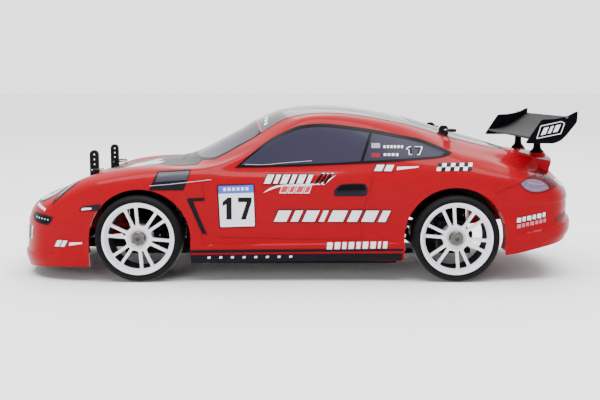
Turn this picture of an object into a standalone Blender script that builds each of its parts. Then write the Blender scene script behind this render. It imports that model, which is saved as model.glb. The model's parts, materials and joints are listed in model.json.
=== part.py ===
"""A 1/16-scale four-wheel-drive drift car: chassis, driveline, suspension, steering, shell and wing.

The car stands on z = 0 with its front towards -X and its left side towards -Y. The origin is on
the ground, on the centreline, midway between the axles. Lengths are written in millimetres and
turned into metres when a mesh is made.
"""

import math

import bmesh
import bpy
from mathutils import Matrix, Vector

MM = 0.001
GAP = 0.3

# Driving dimensions
WHEELBASE = 174.0
TYRE_RADIUS = 23.9
WHEEL_OUT = 65.0
WHEEL_WIDTH = 20.0
AXLE_X = WHEELBASE / 2
AXLE_Z = TYRE_RADIUS
FLOOR_Z = 7.0
FLOOR_TOP = 10.0

# Suspension, measured outwards from the centreline
ARM_Y = 14.0
ARM_Z = 18.0
CARRIER_Y = 40.0
KINGPIN_Y = 44.0
BARREL_R = 2.2
CUP_R = 3.3
SOCKET_R = 2.4
SHOCK_X = 6.0
SHOCK_TOP = (24.0, 46.0)
SHOCK_FOOT = (32.0, 21.8)
LINK_X = -6.0
LINK_IN = (14.0, 33.0)
LINK_OUT = (40.0, 34.6)

# Steering
STEER_ARM = 12.0
TIE_Y = 20.0
SAVER_X = -62.0
SAVER_Y = 14.0
LINK_LOW = 26.4
LINK_HIGH = 29.0

# Driveline
BEVEL_MODULE = 1.06
RING_TEETH = 18
PINION_TEETH = 8
SPUR_MODULE = 0.85
SPUR_TEETH = 28
MOTOR_TEETH = 10
MOTOR_Y = SPUR_MODULE * (SPUR_TEETH + MOTOR_TEETH) / 2
SPUR_X = (23.5, 28.0)

# Shell and its fittings
SHELL_THICK = 1.2
FRONT_POST = (-117.0, 30.0, 71.5)
REAR_POST = (84.0, 28.0, 84.4)
FRONT_CLIP_Z = 59.4
REAR_CLIP_Z = 82.0
POST_HOLE_PITCH = 3.0
WIRE_R = 0.6
FRONT_ARCH = (-86.5, 23.0, 27.8)
REAR_ARCH = (86.5, 24.0, 27.8)
WING_POST = (139.2, 24.0)
WING_SEAT_Z = 68.6

PAINTS = {
    "red_shell": ((0.62, 0.015, 0.02), 0.15, 0.3),
    "black_plastic": ((0.02, 0.02, 0.022), 0.45, 0.0),
    "gloss_black": ((0.01, 0.01, 0.012), 0.12, 0.0),
    "rubber": ((0.02, 0.02, 0.02), 0.75, 0.0),
    "white_rim": ((0.85, 0.85, 0.87), 0.3, 0.0),
    "steel": ((0.6, 0.6, 0.62), 0.3, 1.0),
    "aluminium": ((0.7, 0.7, 0.72), 0.35, 1.0),
    "blue_wrap": ((0.03, 0.09, 0.4), 0.4, 0.0),
    "gear_plastic": ((0.1, 0.1, 0.11), 0.5, 0.0),
}


def clear_scene():
    for thing in list(bpy.data.objects):
        bpy.data.objects.remove(thing, do_unlink=True)


def paint(name):
    material = bpy.data.materials.get(name)
    if material:
        return material
    colour, roughness, metallic = PAINTS[name]
    material = bpy.data.materials.new(name)
    material.use_nodes = True
    shader = material.node_tree.nodes["Principled BSDF"]
    shader.inputs["Base Color"].default_value = (*colour, 1.0)
    shader.inputs["Roughness"].default_value = roughness
    shader.inputs["Metallic"].default_value = metallic
    return material


# Solids, each returned as a bmesh in millimetres

def from_faces(points, faces):
    bm = bmesh.new()
    verts = [bm.verts.new(p) for p in points]
    for face in faces:
        bm.faces.new([verts[i] for i in face])
    bmesh.ops.recalc_face_normals(bm, faces=bm.faces)
    return bm


def block(low, high):
    """A box between two corners."""
    xs, ys, zs = zip(low, high)
    points = [(x, y, z) for x in xs for y in ys for z in zs]
    faces = [(0, 1, 3, 2), (4, 6, 7, 5), (0, 4, 5, 1), (2, 3, 7, 6), (0, 2, 6, 4), (1, 5, 7, 3)]
    return from_faces(points, faces)


AXES = {
    "X": Matrix(((0, 0, 1), (1, 0, 0), (0, 1, 0))).to_4x4(),
    "Y": Matrix(((0, 1, 0), (0, 0, 1), (1, 0, 0))).to_4x4(),
    "Z": Matrix.Identity(4),
}


def turned(profile, axis="Z", centre=(0, 0, 0), sides=10):
    """A solid of revolution: the profile is a closed loop or open chain of (radius, along) pairs."""
    closed = min(r for r, _ in profile) > 0
    points = []
    rings = []
    for radius, along in profile:
        if radius == 0:
            rings.append([len(points)])
            points.append((0, 0, along))
            continue
        rings.append(list(range(len(points), len(points) + sides)))
        for k in range(sides):
            angle = 2 * math.pi * k / sides
            points.append((radius * math.cos(angle), radius * math.sin(angle), along))
    faces = []
    pairs = list(zip(rings, rings[1:]))
    if closed:
        pairs.append((rings[-1], rings[0]))
    for a, b in pairs:
        for k in range(sides):
            n = (k + 1) % sides
            quad = [a[k % len(a)], a[n % len(a)], b[n % len(b)], b[k % len(b)]]
            faces.append(list(dict.fromkeys(quad)))
    bm = from_faces(points, faces)
    bm.transform(Matrix.Translation(Vector(centre)) @ AXES[axis])
    return bm


def rod(radius, low, high, axis="Z", centre=(0, 0), sides=10):
    """A cylinder from low to high along an axis; centre gives the other two coordinates in order."""
    a, b = centre
    place = {"X": (0, a, b), "Y": (a, 0, b), "Z": (a, b, 0)}[axis]
    return turned([(0, low), (radius, low), (radius, high), (0, high)], axis, place, sides)


def prism(outline, low, high, axis="Z"):
    """An outline of (u, v) pairs pushed along an axis; the pairs are the other two coordinates."""
    count = len(outline)
    order = {"X": lambda u, v, w: (w, u, v), "Y": lambda u, v, w: (u, w, v), "Z": lambda u, v, w: (u, v, w)}
    points = [order[axis](u, v, w) for w in (low, high) for u, v in outline]
    faces = [list(range(count)), list(range(count, 2 * count))]
    for k in range(count):
        n = (k + 1) % count
        faces.append([k, n, count + n, count + k])
    return from_faces(points, faces)


def tube(path, radius, sides=6):
    """A round bar along a path of points."""
    points = []
    path = [Vector(p) for p in path]
    side = None
    for i, here in enumerate(path):
        ahead = path[min(i + 1, len(path) - 1)] - path[max(i - 1, 0)]
        ahead.normalize()
        if side is None:
            side = ahead.orthogonal().normalized()
        side = (side - ahead * side.dot(ahead)).normalized()
        other = ahead.cross(side)
        for k in range(sides):
            angle = 2 * math.pi * k / sides
            points.append(here + radius * (math.cos(angle) * side + math.sin(angle) * other))
    faces = [list(range(sides)), list(range(len(points) - sides, len(points)))]
    for i in range(len(path) - 1):
        for k in range(sides):
            n = (k + 1) % sides
            a = i * sides
            faces.append([a + k, a + n, a + sides + n, a + sides + k])
    return from_faces(points, faces)


def ball(radius, centre, sides=8):
    steps = 4
    profile = []
    for k in range(steps + 1):
        angle = math.pi * k / steps
        ring = radius * math.sin(angle) if 0 < k < steps else 0
        profile.append((ring, -radius * math.cos(angle)))
    return turned(profile, "Z", centre, sides)


def raw_object(name, bm):
    mesh = bpy.data.meshes.new(name)
    bm.to_mesh(mesh)
    bm.free()
    thing = bpy.data.objects.new(name, mesh)
    bpy.context.collection.objects.link(thing)
    return thing


def is_closed(mesh):
    check = bmesh.new()
    check.from_mesh(mesh)
    closed = all(len(edge.link_faces) == 2 for edge in check.edges)
    check.free()
    return closed


def evaluated_mesh(thing):
    return bpy.data.meshes.new_from_object(thing.evaluated_get(bpy.context.evaluated_depsgraph_get()))


def solid(name, paint_name, add, cut=(), origin=(0, 0, 0), smooth=35):
    """One closed body: the shapes in add joined, less the shapes in cut, with its origin at a joint."""
    thing = raw_object(name, add[0])
    helpers = []
    for operation, shapes in (("UNION", add[1:]), ("DIFFERENCE", cut)):
        for shape in shapes:
            helper = raw_object("helper", shape)
            helpers.append(helper)
            step = thing.modifiers.new(operation.lower(), "BOOLEAN")
            step.operation = operation
            step.solver = "EXACT"
            step.object = helper
    if helpers:
        made = evaluated_mesh(thing)
        if not is_closed(made):
            for step in thing.modifiers:
                step.solver = "MANIFOLD"
            made = evaluated_mesh(thing)
        thing.modifiers.clear()
        thing.data = made
        for helper in helpers:
            bpy.data.objects.remove(helper, do_unlink=True)
    thing.data.name = name
    thing.data.transform(Matrix.Scale(MM, 4) @ Matrix.Translation(-Vector(origin)))
    thing.location = Vector(origin) * MM
    thing.data.materials.clear()
    thing.data.materials.append(paint(paint_name))
    thing.data.shade_smooth()
    thing.data.set_sharp_from_angle(angle=math.radians(smooth))
    return thing


# Gears

def spur_gear(teeth, module, low, high, centre, phase=0.0):
    """A spur gear about X, with four points to a tooth."""
    radius = module * teeth / 2
    pitch = 2 * math.pi / teeth
    outline = []
    for k in range(teeth):
        middle = (k + phase) * pitch
        for share, reach in ((-0.32, -1.15), (-0.13, 0.85), (0.13, 0.85), (0.32, -1.15)):
            r = radius + reach * module
            angle = middle + share * pitch
            outline.append((centre[0] + r * math.cos(angle), centre[1] + r * math.sin(angle)))
    return prism(outline, low, high, "X")


def bevel_gear(teeth, mate_teeth, axis, side, apex, width=0.3):
    """A bevel gear whose pitch cone has its tip at the apex; side says which way it opens."""
    radius = BEVEL_MODULE * teeth / 2
    reach = BEVEL_MODULE * mate_teeth / 2
    slant = math.hypot(radius, reach)
    pitch = 2 * math.pi / teeth
    rings = []
    for scale in (1.0, 1.0 - width):
        ring = []
        for k in range(teeth):
            middle = k * pitch
            for share, lift in ((-0.31, -1.0), (-0.12, 0.75), (0.12, 0.75), (0.31, -1.0)):
                r = scale * (radius + lift * BEVEL_MODULE * reach / slant)
                along = side * scale * (reach - lift * BEVEL_MODULE * radius / slant)
                angle = middle + share * pitch
                ring.append((r * math.cos(angle), r * math.sin(angle), along))
        rings.append(ring)
    count = len(rings[0])
    points = rings[0] + rings[1]
    points.append((0, 0, side * reach * 1.02))
    points.append((0, 0, side * reach * (1.0 - width)))
    faces = []
    for k in range(count):
        n = (k + 1) % count
        faces.append([k, n, 2 * count])
        faces.append([count + n, count + k, 2 * count + 1])
        faces.append([k, n, count + n, count + k])
    bm = from_faces(points, faces)
    bm.transform(Matrix.Translation(Vector(apex)) @ AXES[axis])
    return bm


# Chassis

def chassis_tub():
    half = 44
    neck = 11
    end = AXLE_X + 17
    plan = [(-end, -neck), (-58, -neck), (-56, -half), (56, -half), (58, -neck), (end, -neck)]
    plan += [(x, -y) for x, y in reversed(plan)]
    floor = prism(plan, FLOOR_Z, FLOOR_TOP)
    walls = [block((-55, s * half - 1, FLOOR_Z + 1), (55, s * half + 1, 18)) for s in (-1, 1)]
    servo_posts = [block((x, 8.5, FLOOR_TOP - 1), (x + 3, 19.5, 13)) for x in (-72.2, -44.7)]
    motor_mount = block((29.2, 3, FLOOR_TOP - 1), (30.7, 30, 36))
    shaft_hole = rod(3.0, 28, 32, "X", (MOTOR_Y, AXLE_Z))
    stay = block((-51, -9.5, FLOOR_TOP - 1), (56, -7.5, 20))
    spur_room = block((22, -14, FLOOR_TOP + 0.2), (29, 14, 30))
    return solid("chassis_tub", "black_plastic", [floor, *walls, *servo_posts, motor_mount, stay],
                 [shaft_hole, spur_room])


def gear_case(name, end):
    """The gear case at one end, with its hinge-pin lugs and shock tower; end is -1 front, +1 rear."""
    x = end * AXLE_X
    shell = block((x - 14, -10.5, FLOOR_TOP + GAP), (x + 14, 10.5, 36))
    room = block((x - 12, -8.9, 12.2), (x + 12, 8.9, 34.4))
    outputs = rod(4.2, -12, 12, "Y", (x, AXLE_Z))
    shaft = rod(2.6, x - 17 if end > 0 else x + 8, x - 8 if end > 0 else x + 17, "X", (0, AXLE_Z))
    lugs = []
    for s in (-1, 1):
        low_x = x + s * 14.4 - (2.6 if s < 0 else 0)
        for side in (-1, 1):
            y = sorted((side * 8.0, side * 17.0))
            lugs.append(block((low_x, y[0], 15), (low_x + 2.6, y[1], 21)))
        lugs.append(block((min(low_x, x + s * 13), -9, 15), (max(low_x + 2.6, x + s * 13), 9, 21)))
    tower_low = x - end * 10.6
    tower_high = x - end * 13.1
    crown = [(-10.4, 30), (-20, 31), (-29.5, 42), (-29.5, 50), (-19, 50.5), (-8, 46)]
    crown += [(-y, z) for y, z in reversed(crown)]
    tower = prism(crown, *sorted((tower_low, tower_high)), "X")
    studs = []
    for side in (-1, 1):
        studs.append(rod(1.0, *sorted((tower_low - end, x - end * (SHOCK_X - 1.8))), "X",
                         (side * SHOCK_TOP[0], SHOCK_TOP[1]), 8))
        y = sorted((side * 10.0, side * 11.8))
        link_x = x - end * LINK_X
        lugs.append(block((link_x - 2, y[0], 30), (link_x + 2, y[1], 35.5)))
    return x, [shell, *lugs, tower, *studs], [room, outputs, shaft]


def post_bar(x, y, low, top):
    """A flat body post with its row of clip holes."""
    side_view = [(x - 2.5, low), (x + 2.5, low), (x + 2.5, top - 1.2), (x + 1.4, top), (x - 1.4, top),
                 (x - 2.5, top - 1.2)]
    return prism(side_view, y - 1.5, y + 1.5, "Y")


def post_holes(x, y, lowest, count):
    return [rod(0.95, y - 3, y + 3, "Y", (x, lowest + k * POST_HOLE_PITCH), 8) for k in range(count)]


def bulkheads():
    x, add, cut = gear_case("front", -1)
    solid("front_bulkhead", "black_plastic", add, cut)
    x, add, cut = gear_case("rear", 1)
    px, py, top = REAR_POST
    for side in (-1, 1):
        add.append(post_bar(px, side * py, 46, top))
        y = sorted((side * 26.9, side * (py + 1.2)))
        add.append(block((74.2, y[0], 46.8), (px + 2, y[1], 49.6)))
        cut += post_holes(px, side * py, REAR_CLIP_Z, 1)
    solid("rear_bulkhead", "black_plastic", add, cut)


def front_body_mount():
    """Bumper, cross-beam and the two front body posts."""
    px, py, top = FRONT_POST
    bumper = prism([(-151, -22), (-151, 22), (-143, 36), (-128, 40), (-128, -40), (-143, -36)], 9, 15)
    tongue = block((-130, -9, 10.5), (-104.3, 9, 14))
    riser = block((-118.5, -6, 11), (-115.5, 6, 40))
    beam = block((-118.2, -py, 36), (-115.8, py, 41))
    add = [bumper, tongue, riser, beam]
    cut = []
    for side in (-1, 1):
        add.append(post_bar(px, side * py, 35, top))
        cut += post_holes(px, side * py, FRONT_CLIP_Z, 4)
    solid("front_body_mount", "black_plastic", add, cut)


def body_clips():
    """R-clips: a straight leg through the post, a curved leg outside it and a finger loop."""
    places = (("front", FRONT_POST, FRONT_CLIP_Z), ("rear", REAR_POST, REAR_CLIP_Z))
    for end, (x, y, _), z in places:
        for side_name, side in (("left", -1), ("right", 1)):
            start = y - 4.5
            path = [(x, side * start, z), (x, side * (y + 5.5), z)]
            for k in range(1, 8):
                angle = math.radians(-90 + 38 * k)
                path.append((x + 2.6 + 2.6 * math.sin(angle), side * (y + 5.5 + 2.6 * math.cos(angle)), z))
            path += [(x + 3.9, side * (y + 3.2), z), (x + 3.4, side * (y + 1.0), z), (x + 4.6, side * (y - 2.5), z)]
            solid(f"{end}_clip_{side_name}", "steel", [tube(path, WIRE_R)], origin=(x, side * y, z))


# Driveline

def diff(name, end):
    """Ring gear, gear case and two output cups, turning together about Y."""
    x = end * AXLE_X
    ring_side = -1 if end < 0 else 1
    ring = bevel_gear(RING_TEETH, PINION_TEETH, "Y", ring_side, (x, 0, AXLE_Z))
    core = rod(4.6, -7.6 if ring_side < 0 else -6.8, 6.8 if ring_side < 0 else 7.6, "Y", (x, AXLE_Z))
    hub = rod(2.2, -9, 9, "Y", (x, AXLE_Z))
    cups = []
    sockets = []
    for side in (-1, 1):
        cups.append(rod(CUP_R, *sorted((side * 8.2, side * 15.2)), "Y", (x, AXLE_Z)))
        sockets.append(rod(SOCKET_R, *sorted((side * 11.2, side * 16.0)), "Y", (x, AXLE_Z)))
    solid(name, "steel", [core, ring, hub, *cups], sockets, origin=(x, 0, AXLE_Z))


def centre_driveshaft():
    parts = [rod(2.0, -AXLE_X + 8, AXLE_X - 8, "X", (0, AXLE_Z))]
    for end in (-1, 1):
        parts.append(bevel_gear(PINION_TEETH, RING_TEETH, "X", -end, (end * AXLE_X, 0, AXLE_Z)))
    parts.append(spur_gear(SPUR_TEETH, SPUR_MODULE, *SPUR_X, (0, AXLE_Z)))
    return solid("centre_driveshaft", "gear_plastic", parts, origin=(0, 0, AXLE_Z))


def motor():
    axis = (MOTOR_Y, AXLE_Z)
    can = rod(13.4, 31, 64, "X", axis, 24)
    cap = rod(11.5, 63.5, 67.5, "X", axis, 16)
    boss = rod(2.8, 30.0, 31.5, "X", axis)
    solid("drive_motor", "steel", [can, cap, boss])
    pinion = spur_gear(MOTOR_TEETH, SPUR_MODULE, *SPUR_X, axis, 0.5)
    shaft = rod(1.5, SPUR_X[1] - 1, 29.6, "X", axis)
    solid("motor_pinion", "steel", [pinion, shaft], origin=(SPUR_X[0], *axis))


# Steering and electrics

def steering():
    low = block((SAVER_X - 7, 8, FLOOR_TOP + GAP), (SAVER_X + 17, 20, 25.6))
    neck = rod(2.5, 25, LINK_HIGH, "Z", (SAVER_X, SAVER_Y))
    solid("steering_servo", "black_plastic", [low, neck])
    top = LINK_HIGH + 0.4
    hub = rod(4.0, top, top + 3, "Z", (SAVER_X, SAVER_Y))
    arm = block((SAVER_X, SAVER_Y - 1.8, top), (SAVER_X + STEER_ARM, SAVER_Y + 1.8, top + 2))
    tip = rod(2.6, top, top + 2, "Z", (SAVER_X + STEER_ARM, SAVER_Y))
    solid("servo_saver", "black_plastic", [hub, arm, tip], origin=(SAVER_X, SAVER_Y, top))
    tie_x = -AXLE_X + STEER_ARM
    bar = block((-71, -22, LINK_LOW), (-68, 22, LINK_HIGH))
    tail = block((-69, 2, LINK_LOW), (SAVER_X + STEER_ARM - 1, 5, LINK_HIGH))
    foot = block((SAVER_X + STEER_ARM - 2, 2, LINK_LOW), (SAVER_X + STEER_ARM + 2, SAVER_Y + 2, LINK_HIGH))
    shapes = [bar, tail, foot]
    for side in (-1, 1):
        y = sorted((side * (TIE_Y - 2), side * (TIE_Y + 2)))
        shapes.append(block((tie_x - 2, y[0], LINK_LOW), (-68.5, y[1], LINK_HIGH)))
    solid("steering_link", "black_plastic", shapes, origin=(SAVER_X + STEER_ARM, SAVER_Y, LINK_LOW))
    for name, side in (("left", -1), ("right", 1)):
        ends = [ball(1.9, (tie_x, side * y, AXLE_Z)) for y in (TIE_Y, KINGPIN_Y)]
        y = sorted((side * TIE_Y, side * KINGPIN_Y))
        bar = rod(1.0, *y, "Y", (tie_x, AXLE_Z), 8)
        solid(f"tie_rod_{name}", "black_plastic", [bar, *ends], origin=(tie_x, side * TIE_Y, AXLE_Z))


def electrics():
    cells = block((-44, -41.5, FLOOR_TOP + GAP), (50, -14.5, 28.5))
    ends = [rod(8.5, -46, 52, "X", (y, 19.5), 12) for y in (-33, -23)]
    solid("battery_pack", "blue_wrap", [cells, *ends])
    box = block((-41, 11.5, FLOOR_TOP + GAP), (14, 40, 24))
    lid = prism([(-39, 13.5), (12, 13.5), (12, 38), (-39, 38)], 23.5, 26)
    solid("receiver_esc", "black_plastic", [box, lid])


# Corners

def corner(end_name, end, side_name, side):
    """Arm, carrier, knuckle, axle, driveshaft, links, shock, rim and tyre of one corner."""
    x = end * AXLE_X
    tag = f"{end_name}_{side_name}"
    inward = -end

    def ys(a, b):
        return sorted((side * a, side * b))

    def box(x0, x1, y0, y1, z0, z1):
        y = ys(y0, y1)
        return block((x + min(x0, x1), y[0], z0), (x + max(x0, x1), y[1], z1))

    def bar(radius, y0, y1, sides=10):
        return rod(radius, *ys(y0, y1), "Y", (x, AXLE_Z), sides)

    arm_plan = [(x - 14, side * 14), (x + 14, side * 14), (x + 5.4, side * 36), (x + 5.4, side * 40),
                (x - 5.4, side * 40), (x - 5.4, side * 36)]
    arm = [prism(arm_plan, 16.7, 19.3), rod(BARREL_R, x - 14, x + 14, "X", (side * ARM_Y, ARM_Z)),
           rod(BARREL_R, x - 5.5, x + 5.5, "X", (side * CARRIER_Y, ARM_Z))]
    foot_x = sorted((x + inward * (SHOCK_X - 3.9), x + inward * (SHOCK_X - 2.1)))
    arm.append(block((foot_x[0], ys(30, 34)[0], 19), (foot_x[1], ys(30, 34)[1], 23)))
    window = [(x - 8, side * 19), (x + 8, side * 19), (x + 5.5, side * 27), (x - 5.5, side * 27)]
    solid(f"lower_arm_{tag}", "black_plastic", arm, [prism(window, 15, 21)], origin=(x, side * ARM_Y, ARM_Z))

    eye_x = LINK_X * inward
    top = LINK_OUT[1]
    if end < 0:
        legs = [box(s * 5.9, s * 8.0, 38, 41.2, 15.3, 31.6) for s in (-1, 1)]
        feet = [box(s * 5.9, s * 8.0, 41, 43, 15.3, 17.9) for s in (-1, 1)]
        carrier = [*legs, *feet, box(-8, 8, 38, 47, 30.0, 32.2), box(-8, 8, 42.7, 46.6, 15.3, 17.9)]
        carrier.append(box(eye_x - 1.6, eye_x + 1.6, 38.6, 41.4, 31, top - 2.2))
        solid(f"hub_carrier_{tag}", "black_plastic", carrier, origin=(x, side * CARRIER_Y, ARM_Z))
        body = [box(-4.6, 4.6, 45.5, 50, 18.5, 29.6), box(-2.6, 2.6, 43.2, 46, 18.5, 19.8),
                box(-3.2, 3.2, 42.2, 46, 28.3, 29.6), box(4.0, STEER_ARM, 45.6, 49.5, 20.2, 21.6),
                box(STEER_ARM - 1.8, STEER_ARM + 1.6, 42.2, 49.5, 20.2, 21.6)]
        solid(f"knuckle_{tag}", "black_plastic", body, [bar(3.7, 44, 47), bar(1.95, 46, 52)],
              origin=(x, side * KINGPIN_Y, AXLE_Z))
    else:
        legs = [box(s * 5.9, s * 8.0, 38, 47, 15.3, 26) for s in (-1, 1)]
        carrier = [*legs, box(-8, 8, 45.5, 50, 17.5, 32), box(-8, 8, 38, 47, 29.4, 32)]
        carrier.append(box(eye_x - 1.6, eye_x + 1.6, 38.6, 41.4, 31, top - 2.2))
        solid(f"hub_carrier_{tag}", "black_plastic", carrier, [bar(3.7, 44, 47), bar(1.95, 46, 52)],
              origin=(x, side * CARRIER_Y, ARM_Z))

    axle = [bar(CUP_R, 41.4, 46.6), bar(1.5, 46.5, 64.6), bar(4.0, 50.5, 54.2, 6), bar(3.7, 61.9, 64.6, 6)]
    solid(f"wheel_axle_{tag}", "steel", axle, [bar(SOCKET_R, 40, 45.8)], origin=(x, side * 57, AXLE_Z))

    shaft = [bar(1.0, 13.4, 43.4, 8), ball(1.5, (x, side * 13.4, AXLE_Z)), ball(1.5, (x, side * 43.4, AXLE_Z))]
    solid(f"driveshaft_{tag}", "steel", shaft, origin=(x, side * 27.7, AXLE_Z))

    eye = [(x + eye_x, side * LINK_IN[0], LINK_IN[1]), (x + eye_x, side * LINK_OUT[0], LINK_OUT[1])]
    link = [tube(eye, 1.0), ball(1.9, eye[0]), ball(1.9, eye[1])]
    solid(f"upper_link_{tag}", "black_plastic", link, origin=eye[0])

    shock_x = x + inward * SHOCK_X
    head = Vector((shock_x, side * SHOCK_TOP[0], SHOCK_TOP[1]))
    foot = Vector((shock_x, side * SHOCK_FOOT[0], SHOCK_FOOT[1]))
    along = (foot - head).normalized()
    turn = Vector((0, 0, 1)).rotation_difference(along).to_matrix().to_4x4()
    place = Matrix.Translation(head) @ turn

    def down(profile, sides=10):
        shape = turned(profile, "Z", (0, 0, 0), sides)
        shape.transform(place)
        return shape

    body = down([(0, 0.5), (2.4, 0.5), (2.4, 3), (3.1, 3), (3.1, 4.6), (2.6, 4.6), (2.6, 15.5), (0, 15.5)])
    top_eye = rod(2.1, shock_x - 1.4, shock_x + 1.4, "X", (head.y, head.z), 10)
    pin_hole = rod(1.35, shock_x - 4, shock_x + 4, "X", (head.y, head.z), 8)
    bore = down([(0, 5.5), (1.5, 5.5), (1.5, 17), (0, 17)], 8)
    solid(f"shock_body_{tag}", "aluminium", [body, top_eye], [pin_hole, bore], origin=head)
    length = (foot - head).length
    stem = down([(0, 9.5), (1.0, 9.5), (1.0, length), (0, length)], 8)
    seat = down([(0, length - 4.2), (3.0, length - 4.2), (3.0, length - 3.0), (0, length - 3.0)])
    low_eye = ball(1.7, foot)
    solid(f"shock_rod_{tag}", "steel", [stem, seat, low_eye], origin=foot)
    wheel(tag, x, side)


def wheel(tag, x, side):
    """A rim of six twin spokes and a slick tyre, both turning about the axle."""
    centre = (x, 0, AXLE_Z)
    low = side * (WHEEL_OUT - WHEEL_WIDTH)
    sign = side

    def ring(profile, sides=24):
        return turned([(r, low + sign * w) for r, w in profile], "Y", centre, sides)

    barrel = ring([(17.2, 0.8), (18.8, 0.8), (17.9, 3.0), (17.9, 17.5), (20.1, 18.6), (20.1, 19.8),
                   (17.0, 19.8)], 20)
    hub = ring([(2.0, 10.0), (6.6, 10.0), (6.6, 16.5), (2.0, 16.5)], 10)
    parts = [barrel, hub]
    for k in range(6):
        for lean in (-1, 1):
            angle = math.radians(46.5 + 60 * k)
            spoke = angle + math.radians(lean * 11)
            a = Vector((math.cos(spoke), 0, math.sin(spoke))) * 5.0
            b = Vector((math.cos(spoke), 0, math.sin(spoke))) * 17.6
            across = Vector((-math.sin(angle), 0, math.cos(angle))) * 0.85
            y = sorted((low + sign * 13.2, low + sign * 16.2))
            points = []
            for depth in y:
                for spot in (a - across, b - across, b + across, a + across):
                    points.append((x + spot.x, depth, AXLE_Z + spot.z))
            faces = [(0, 1, 2, 3), (4, 5, 6, 7), (0, 1, 5, 4), (1, 2, 6, 5), (2, 3, 7, 6), (3, 0, 4, 7)]
            parts.append(from_faces(points, faces))
    axis = (x, side * 57, AXLE_Z)
    solid(f"rim_{tag}", "white_rim", parts, origin=axis)
    tyre = ring([(19.2, 17.4), (20.6, 17.8), (20.6, 19.4), (22.4, 19.8), (23.9, 17.6), (23.9, 2.4),
                 (22.4, 0.2), (19.2, 0.2)])
    solid(f"tyre_{tag}", "rubber", [tyre], origin=axis)


# Shell and wing

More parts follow.
